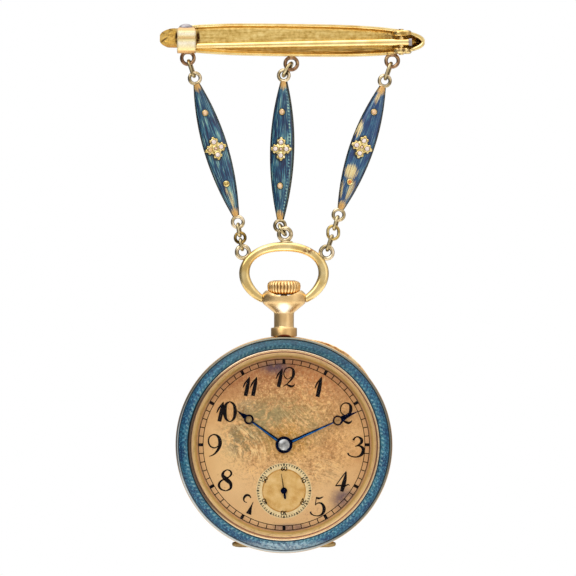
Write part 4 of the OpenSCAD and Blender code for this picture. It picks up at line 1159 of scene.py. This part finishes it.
def pendant():
    """Stub, collar, neck and cone, and a cup, a little flat, whose mouth is cut down in front and behind."""
    shape = lathe([
        (1.4, -47.1), (1.55, -46.9), (1.55, -45.7), (1.92, -45.68), (2.01, -45.58), (2.01, -44.44),
        (1.92, -44.32), (1.62, -44.3), (1.54, -44.2), (1.53, -44.0), (1.53, -42.3), (1.56, -42.05),
        (1.66, -41.88), (2.02, -41.6), (2.4, -41.28), (2.76, -41.0), (3.05, -40.76), (3.24, -40.56),
        (3.35, -40.36), (3.4, -40.16), (3.41, -39.9), (3.41, -39.6), (3.4, -39.4), (3.35, -39.2),
        (3.22, -39.0), (3.05, -38.82), (2.88, -38.66), (2.76, -38.57), (2.68, -38.58), (2.6, -38.7),
        (2.5, -38.95), (2.35, -39.2), (1.9, -39.4), (0.56, -39.42)], 180, closed=False)
    flat = [(-42.1, 1), (-41.88, 0.97), (-41.6, 0.89), (-41.28, 0.815), (-41.0, 0.755), (-40.76, 0.72),
            (-40.3, 0.71), (-39.6, 0.72)]  # its depth at a height, as a share of its width

    def depth(z):
        for (low, a), (high, b) in zip(flat, flat[1:]):
            if low <= z <= high:
                return mixed(a, b, (z - low) / (high - low))
        return flat[0][1] if z < flat[0][0] else flat[-1][1]

    shape.verts = [(x, y * depth(z), min(z, scallop(x))) for x, y, z in shape.verts]
    return shape


def hinge_knuckle(side):
    """A knuckle under the case, tapered to its outer end."""
    inner, outer = 4.95, 8
    length = outer - inner
    form = lathe([(0.14, 0), (0.3, 0.12), (0.42, 0.5), (0.5, 1.1), (0.5, length - 0.07), (0.42, length)], 28,
                 closed=False)
    return form.moved(Matrix.Translation((side * outer, HINGE_Y, HINGE_Z)) @ about("Y", -side * 90))


band = lathe([(14.7, 1.7), (14.7, -1.7), (16.5, -1.7), (16.62, -1.64), (16.69, -1.5), (16.7, -1.3),
              (16.7, 1.3), (16.69, 1.5), (16.62, 1.64), (16.5, 1.7)], 256)
for side in (1, -1):
    band.add(hinge_knuckle(side), kind=1)
band.moved(dial_frame()).add(pendant())
band.piece("case_and_pendant", [pendant_gold(), knuckle_gold], "watch", "gold", ["case_band"])


def crystal_form():
    """A thin dome of glass."""
    r, inner_r = 14.3, 14.0
    stops = [r * math.sin(math.pi / 2 * i / 24) for i in range(25)]
    dome = [(far, 3.05 + 0.9 * (1 - (far / r) ** 2)) for far in stops]
    hollow = [(far * inner_r / r, z - 0.3) for far, z in reversed(dome)]
    return lathe([(max(far, 1e-4), z) for far, z in dome + [(r, 2.75)] + hollow[1:]], 128)


crystal_form().moved(dial_frame()).piece("glass", crystal_look(), "watch", "crystal", ["crystal"])


def back_form():
    """The domed back with its crescent lip and its share of the hinge."""
    rim_z, rim_r = -1.78, CASE_R - 0.1
    inner_r = rim_r - 0.9
    outside = [(rim_r - 0.06, rim_z)] + [(rim_r, rim_z - 0.06), (rim_r, rim_z - 0.34)]
    outside += [(r, rim_z - 0.4 - 2.2 * (1 - (r / rim_r) ** 2))
                for r in (rim_r * math.cos(math.pi / 2 * i / 30) for i in range(31))]
    inside = [(r, rim_z + 0.05 - 2.2 * (1 - (r / rim_r) ** 2))
              for r in (inner_r * math.sin(math.pi / 2 * i / 20) for i in range(21))]
    shape = lathe([(max(r, 1e-4), z) for r, z in outside + inside] + [(inner_r, rim_z)], 192)
    shape.verts = [(x, max(y, BACK_FLAT), z) for x, y, z in shape.verts]
    return shape


def thumb_lip(low, high):
    """A crescent that stands out past the case."""
    lip_r, reach, case = 12.0, 17.1, CASE_R - 0.4
    shift = reach - lip_r
    spread = math.acos((case ** 2 + shift ** 2 - lip_r ** 2) / (2 * case * shift))
    rows = []
    for i in range(33):
        a = spread * (i / 16 - 1) * 0.995
        far = shift * math.cos(a) + math.sqrt(lip_r ** 2 - (shift * math.sin(a)) ** 2)
        edge = min(0.08, (far - case) / 3 + 0.005)
        stops = [(case - 0.3, low), (far - edge, low), (far, low + 0.08),
                 (far, high - 0.08), (far - edge, high), (case - 0.3, high)]
        rows.append([(r * math.sin(a), r * math.cos(a), z) for r, z in stops])
    return Shape().grid(rows, caps=(True, True)).moved(about("Z", -LIP_TURN))


back = back_form().add(thumb_lip(*LIP), kind=1)
knuckle = lathe([(0.22, -KNUCKLE), (0.44, -KNUCKLE), (0.5, 0.06 - KNUCKLE), (0.5, KNUCKLE - 0.06),
                 (0.44, KNUCKLE), (0.22, KNUCKLE)], 28)
back.add(knuckle.moved(Matrix.Translation((0, HINGE_Y, HINGE_Z)) @ about("Y", 90)))
leaf = [(HINGE_Y, -2.3), (HINGE_Y, -1.95), (-14.4, -1.95), (-14.4, -2.3)]
back.add(Shape().grid([[(x, y, z) for y, z in leaf] for x in (-KNUCKLE, KNUCKLE)], caps=(True, True)))
back.moved(dial_frame()).piece("back_shell", [case_gold, lip_gold], "back", "gold", ["back_cover"])


# Hands
HAND_THICK = 0.1
HOUR_Z, MINUTE_Z, SECONDS_Z = 1.6, 1.82, 1.44  # the undersides, over the dial's frame


def flat_ring(middle, r, hole, low, high, steps=48):
    """A washer with rounded edges, in the dial's frame."""
    soft = min(0.04, (r - hole) / 4)
    profile = [(hole, low), (hole, high - soft), (hole + soft, high),
               (r - soft, high), (r, high - soft), (r, low)]
    return lathe(profile, steps).moved(Matrix.Translation((*middle, 0)))


def blade(stops, low, high):
    """A slim bar up Y with a ridge down its middle, from (y, width) stops."""
    side = high - 0.06
    rows = [[(-w / 2, y, low), (w / 2, y, low), (w / 2, y, side), (0, y, high), (-w / 2, y, side)]
            for y, w in stops]
    return Shape().grid(rows, caps=(True, True))


def ring_hand(length, ring_at, ring_r, hole, hub_r, root, neck, z, lit):
    """A hand with an open ring. lit is the side of its long blade that has the bright line, -1 or 1."""
    low, high = z, z + HAND_THICK
    shape = flat_ring((0, 0), hub_r, 0.3, low, high)
    shape.add(blade([(hub_r - 0.15, root), (ring_at - ring_r + 0.12, neck)], low, high))
    # the strip on the lit side, in the brighter blue, is a painted highlight
    ridge = [[(x, y, z) for x, z in ((0, low), (lit * w, low), (lit * w, high + 0.008), (0, high + 0.008))]
             for y, w in ((hub_r + 0.1, 0.3 * root), (ring_at - ring_r - 0.1, 0.42 * neck))]
    shape.add(Shape().grid(ridge, caps=(True, True)), kind=1)
    shape.add(flat_ring((0, ring_at), ring_r, hole, low, high))
    foot = ring_at + (ring_r + hole) / 2
    shape.add(blade([(foot - 0.05, 2 * hole * 0.56), (foot + 0.12, 2 * ring_r * 0.52),
                     ((foot + length) / 2, ring_r * 0.5), (length, 0.07)], low, high))
    return shape


hour = ring_hand(8.92, 6.67, 0.76, 0.49, 1.2, 0.52, 0.3, HOUR_Z, -1)
hour.moved(dial_frame() @ about("Z", -HOUR_TURN))
hour.piece("hand_hour", [steel_blue, steel_bright], "hour", "blued_steel", ["hour_hand"])
minute = ring_hand(12.55, 9.1, 0.78, 0.53, 1.31, 0.56, 0.24, MINUTE_Z, 1)
minute.add(lathe([(0.4, 1.05), (0.4, 1.9), (0.3, 1.9), (0.3, 1.05)], 24))
minute.moved(dial_frame() @ about("Z", -MINUTE_TURN))
minute.piece("hand_minute", [steel_blue, steel_bright], "minute", "blued_steel", ["minute_hand"])
cap = lathe([(0.3, 1.94), (0.86, 1.94), (0.88, 1.98), (0.86, 2.06), (0.76, 2.12), (0.6, 2.18), (0.42, 2.25),
             (0.2, 2.28), (0.02, 2.26)], 40, closed=False)
cap.moved(dial_frame()).piece("cap_steel", steel_grey, "minute", "steel", ["hand_cap"])
low, high = SECONDS_Z, SECONDS_Z + HAND_THICK
seconds = flat_ring((0, 0), 0.5, 0.05, low, high)
seconds.add(blade([(0.3, 0.16), (2.68, 0.05)], low, high))
seconds.add(blade([(-0.35, 0.2), (-0.75, 0.34), (-1.05, 0.36), (-1.25, 0.22), (-1.32, 0.06)], low, high))
seconds.add(lathe([(0.02, 1.2), (0.12, 1.2), (0.12, 1.56), (0.02, 1.58)], 20, closed=False))
seconds.moved(dial_frame() @ at(0, 0, -SECONDS_DROP) @ about("Z", -SECONDS_TURN))
seconds.piece("hand_seconds", steel_blue, "seconds", "blued_steel", ["seconds_hand"])


# Dial printing
class Print:
    """Flat marks in the dial's own frame, just over its face. Each mark is a run of four-sided faces."""

    def __init__(self, height):
        self.shape, self.height = Shape(), height

    def strip(self, left, right, closed=False):
        """Faces between two lines of points, the left one on the left of the way they run."""
        start, count = len(self.shape.verts), len(left)
        self.shape.verts += [(x, y, self.height) for pair in zip(left, right) for x, y in pair]
        self.shape.uvs += [(0.0, 0.0)] * (2 * count)
        for i in range(count if closed else count - 1):
            a, b = start + 2 * i, start + 2 * ((i + 1) % count)
            self.shape.faces.append((a, a + 1, b + 1, b))
            self.shape.kinds.append(0)

    def stroke(self, points, place=(0.0, 0.0), size=1.0, spin=0.0):
        """A smooth line through (x, y, width) points, moved, scaled and turned clockwise by spin degrees."""
        way = Matrix.Rotation(math.radians(-spin), 2)
        smooth = [(x, y, 1.15 * width + 0.012) for x, y, width in smooth_line(points)]
        left, right = [], []
        for i, (x, y, width) in enumerate(smooth):
            ahead, behind = smooth[min(i + 1, len(smooth) - 1)], smooth[max(i - 1, 0)]
            along_it = Vector((ahead[0] - behind[0], ahead[1] - behind[1])).normalized()
            across = Vector((-along_it[1], along_it[0])) * width / 2
            for side, sign in ((left, 1), (right, -1)):
                spot = way @ (Vector((x, y)) + across * sign) * size + Vector(place)
                side.append(tuple(spot))
        self.strip(left, right)

    def band(self, middle, low, high, steps=180):
        """A flat ring between two radii."""
        inner, outer = ([(middle[0] + r * math.cos(a), middle[1] + r * math.sin(a)) for a in turn(steps)]
                        for r in (low, high))
        self.strip(inner, outer, closed=True)

    def tick(self, middle, low, high, width, clock):
        """A radial dash at a clock angle in degrees."""
        self.stroke([(0, low, width), (0, (low + high) / 2, width), (0, high, width)], middle, 1.0, clock)

    def piece(self, name, material, body, slot):
        return self.shape.moved(dial_frame()).piece(name, material, body, slot, closed=False)


def smooth_line(points, steps=5):
    """A Catmull-Rom curve through points of any number of values."""
    if len(points) < 3:
        return points
    ends = [points[0]] + list(points) + [points[-1]]
    line = []
    for a, b, c, d in zip(ends, ends[1:], ends[2:], ends[3:]):
        for i in range(steps):
            t = i / steps
            line.append(tuple(0.5 * (2 * q + (r - p) * t + (2 * p - 5 * q + 4 * r - s) * t * t
                                     + (3 * q - p - 3 * r + s) * t ** 3) for p, q, r, s in zip(a, b, c, d)))
    return line + [tuple(points[-1])]


# Strokes of each digit: x from its middle, y from its foot and width, in thousandths of its height
DIGITS = {
    "0": [[(0, 985, 35), (-190, 840, 110), (-250, 500, 160), (-190, 160, 110), (0, 15, 35),
           (190, 160, 100), (260, 500, 140), (190, 840, 100), (0, 985, 35)]],
    "1": [[(170, 1000, 15), (145, 860, 85), (90, 600, 150), (30, 300, 170), (-35, 0, 165)],
          [(170, 985, 20), (60, 830, 50), (-50, 680, 65), (-130, 520, 50), (-165, 430, 20)]],
    "2": [[(130, 510, 20), (-40, 400, 30), (-210, 510, 35), (-250, 710, 40), (-170, 910, 40),
           (10, 985, 45), (190, 910, 80), (245, 710, 130), (180, 470, 100), (0, 245, 50), (-180, 90, 30),
           (-270, 30, 25)],
          [(-270, 30, 25), (-120, 120, 50), (20, 60, 90), (150, 30, 90), (270, 100, 40), (290, 150, 20)]],
    "3": [[(-100, 815, 90), (-13, 944, 50), (137, 980, 50), (296, 860, 110), (288, 708, 110),
           (137, 580, 50), (-13, 524, 25)],
          [(-13, 524, 25), (200, 550, 60), (373, 408, 120), (330, 170, 120), (137, 30, 60),
           (-100, 20, 40), (-313, 107, 50), (-356, 215, 60)]],
    "4": [[(190, 980, 30), (-64, 640, 35), (-320, 290, 30)],
          [(200, 980, 20), (140, 640, 130), (64, 340, 170), (-20, 20, 130)],
          [(-330, 290, 30), (-106, 310, 55), (106, 277, 50), (277, 353, 45), (360, 310, 15)]],
    "5": [[(-45, 970, 50), (50, 915, 85), (170, 920, 70), (330, 1000, 15)],
          [(-30, 940, 30), (-64, 736, 30), (-86, 564, 30)],
          [(-86, 564, 30), (36, 668, 40), (240, 645, 80), (364, 418, 140), (310, 168, 110), (127, 32, 50),
           (-123, 32, 35), (-305, 136, 60), (-327, 236, 70)]],
    "7": [[(138, 817, 20), (46, 954, 75), (-115, 963, 100), (-230, 817, 80), (-206, 656, 40),
           (-70, 596, 25)],
          [(252, 624, 15), (138, 358, 80), (10, 0, 250)]],
    "8": [[(80, 980, 30), (-80, 858, 80), (-100, 696, 130), (60, 534, 170), (243, 352, 130),
           (243, 130, 80), (40, 16, 30)],
          [(40, 16, 30), (-182, 90, 60), (-283, 251, 90), (-223, 433, 70), (0, 575, 40)],
          [(0, 575, 40), (182, 656, 50), (283, 798, 70), (223, 931, 50), (80, 980, 30)]],
    "9": [[(207, 500, 30), (28, 390, 40), (-171, 462, 50), (-260, 660, 50), (-210, 880, 45),
           (-10, 988, 40), (187, 880, 100), (260, 620, 140), (187, 343, 100), (-12, 104, 50),
           (-230, 8, 15)]],
}
# Each digit on the dial: its sign, the place of its foot's middle, and its height
HOUR_DIGITS = [
    ("1", 5.27, 7.38, 3.09), ("1", -0.75, 8.89, 2.88), ("2", 0.75, 8.89, 3.06), ("2", 9.51, 3.27, 3.22),
    ("3", 10.99, -1.92, 3.2), ("4", 8.96, -7.27, 3.22), ("5", 5.08, -11.0, 3.02), ("7", -5.49, -10.67, 2.99),
    ("8", -9.06, -7.16, 3.39), ("9", -10.73, -1.82, 3.44), ("1", -9.85, 3.58, 3.05), ("0", -8.33, 3.54, 3.16),
    ("1", -5.82, 7.52, 2.95), ("1", -4.69, 7.52, 2.95),
]
PRINT_Z = DIAL_Z + 0.012
SECONDS_MIDDLE = (0, -SECONDS_DROP)
TRACK = (12.46, 13.17)  # the two rings of the minute track
# Small figures of the seconds ring, in plain strokes, measured like the digits
SMALL = {
    "0": [[(0, 1000, 140), (-300, 750, 200), (-300, 250, 200), (0, 0, 140), (300, 250, 200),
           (300, 750, 200), (0, 1000, 140)]],
    "1": [[(20, 1000, 180), (0, 500, 220), (0, 0, 200)]],
    "2": [[(-280, 750, 160), (0, 1000, 160), (280, 720, 200), (0, 350, 160), (-300, 0, 160),
           (300, 0, 180)]],
    "3": [[(-280, 950, 160), (220, 800, 200), (0, 550, 140), (280, 280, 200), (-280, 20, 160)]],
    "4": [[(100, 1000, 140), (-300, 320, 140), (320, 320, 140)],
          [(120, 700, 200), (120, 350, 200), (120, 0, 200)]],
    "5": [[(260, 980, 160), (-200, 960, 140), (-220, 580, 140), (260, 400, 200), (100, 20, 160),
           (-280, 60, 160)]],
    "6": [[(220, 980, 140), (-220, 600, 180), (-240, 150, 200), (100, 0, 160), (260, 280, 180),
           (0, 500, 140), (-240, 300, 140)]],
}


def per_mille(points):
    """Points in thousandths as shares."""
    return [tuple(value / 1000 for value in point) for point in points]


ink_marks = Print(PRINT_Z + 0.004)
for r in TRACK:
    ink_marks.band((0, 0), r - 0.055, r + 0.055, 240)
for mark in range(60):
    ink_marks.tick((0, 0), *TRACK, 0.11 if mark % 5 else 0.4, 6 * mark)
for digit, x, y, height in HOUR_DIGITS:
    for line in DIGITS[digit]:
        ink_marks.stroke(per_mille(line), (x, y), height)
for mark in range(60):
    far, width = (4.12, 0.1) if mark % 5 else (4.2, 0.18)
    ink_marks.tick(SECONDS_MIDDLE, 3.82, far, width, 6 * mark)
ink_marks.band(SECONDS_MIDDLE, 4.1, 4.14, 120)
ink_marks.piece("hour_marks", black, "watch", "dial_enamel")

small_marks = Print(PRINT_Z + 0.006)
for number in range(10, 70, 10):
    turned, low = math.radians(6 * number), 3.12
    for place, digit in zip((-0.24, 0.24), str(number)):
        foot = (low * math.sin(turned) + place * math.cos(turned),
                low * math.cos(turned) - place * math.sin(turned) - SECONDS_DROP)
        for line in SMALL[digit]:
            small_marks.stroke(per_mille(line), foot, 0.6, 6 * number)
small_marks.piece("seconds_figures", black, "watch", "dial_enamel")


# CAD pieces that stay as they are
KEPT = {
    "hinge_rivet": polished, "movement": gilt, "hinge_pin": polished, "winding_stem": steel_grey,
    "dial": dial_look(), "stone_left_4": yellow_stone,
    "stone_left_5": pale_stone, "stone_centre_5": pale_stone, "stone_right_5": pale_stone,
}
for node in [o for o in bpy.data.objects if o.name in KEPT or o.name.startswith("stone_")]:
    node.data.materials.clear()
    node.data.materials.append(KEPT.get(node.name, white_stone))


# Room: a pale floor, a white background and soft studio light
def pale_floor():
    middle_z, thick = -0.135, 0.002
    bpy.ops.mesh.primitive_cylinder_add(radius=0.25, depth=thick, vertices=96, location=(0, 0, middle_z))
    floor = bpy.context.object
    floor.name = "floor"
    look = Look("floor_paper", Roughness=0.9)
    look.tone = look.ramp(look.noise(0.4, 3), (0.3, (226, 224, 220)), (0.7, (236, 234, 230)))
    floor.data.materials.append(look.done())


def room():
    """White for the camera. For the metal, a room bright above and below, and dim beside and behind."""
    world = bpy.data.worlds.new("room")
    bpy.context.scene.world = world
    world.use_nodes = True
    world.node_tree.nodes.clear()
    air = Nodes(world.node_tree)

    def level(value):
        return (value, value * 0.98, value * 0.96, 1)

    x, y, z = air.parts(air.value("TexCoord", output="Generated"))
    upright = air.ramp(z * 0.5 + 0.5, *[((height + 1) / 2, level(value)) for height, value in (
        (-1, 2.2), (-0.9, 1.9), (-0.7, 1.1), (-0.4, 0.5), (0, 0.28), (0.35, 0.42), (0.6, 0.8), (0.78, 1.5),
        (0.92, 2.5), (1, 2.8))])
    facing = air.ramp(y * -1, (0.3, level(0)), (0.8, level(0.3)), (1.0, level(0.42)))
    across = x * 0.5 + 0.5
    beside = air.ramp(across, (0.0, (0.04, 0.05, 0.08, 1)), (0.2, level(0)), (0.76, level(0)),
                      (0.92, (0.22, 0.18, 0.15, 1)), (1.0, (0.34, 0.27, 0.22, 1)))
    left = air.ramp(across, (0.04, level(0.5)), (0.2, level(0.75)), (0.3, level(1)))
    light = air.mix(1, air.mix(1, upright, facing, "ADD"), beside, "ADD")
    lit = air.value("Background", air.mix(1, light, left, "MULTIPLY"))
    seen = air.value("Background", (1, 1, 1, 1))
    camera_ray = air.value("LightPath", output="Is Camera Ray")
    air.node("OutputWorld", air.value("MixShader", camera_ray, lit, seen))


def soft_light(name, place, aim, size, power, for_metal=False):
    data = bpy.data.lights.new(name, "AREA")
    data.shape, data.size, data.energy = "DISK", size, power
    lamp = bpy.data.objects.new(name, data)
    bpy.context.scene.collection.objects.link(lamp)
    lamp.location = place
    lamp.visible_camera = False
    lamp.visible_diffuse = not for_metal
    lamp.rotation_mode = "QUATERNION"
    lamp.rotation_quaternion = (Vector(aim) - Vector(place)).to_track_quat("-Z", "Y")


pale_floor()
room()
MIDDLE = (0.0, 0.0, -0.04)
soft_light("key", (-0.35, -0.5, 0.4), MIDDLE, 0.6, 1.7)
soft_light("fill", (0.5, -0.5, 0.1), MIDDLE, 0.6, 0.5)
soft_light("card", (0, -0.06, -0.127), MIDDLE, 0.06, 0.012, True)

# Camera: square on to the dial, as far off as a long lens stands
FRAME_WIDTH, DISTANCE, SENSOR = 0.0888, 1.2, 36
camera_data = bpy.data.cameras.new("camera")
camera_data.sensor_width = SENSOR
camera_data.lens = SENSOR * DISTANCE / FRAME_WIDTH
camera = bpy.data.objects.new("camera", camera_data)
bpy.context.scene.collection.objects.link(camera)
camera.location = (0.00062, -DISTANCE, -0.0382)
camera.rotation_euler = (math.radians(90), 0, 0)
bpy.context.scene.camera = camera
bpy.context.scene.view_settings.view_transform = "Standard"
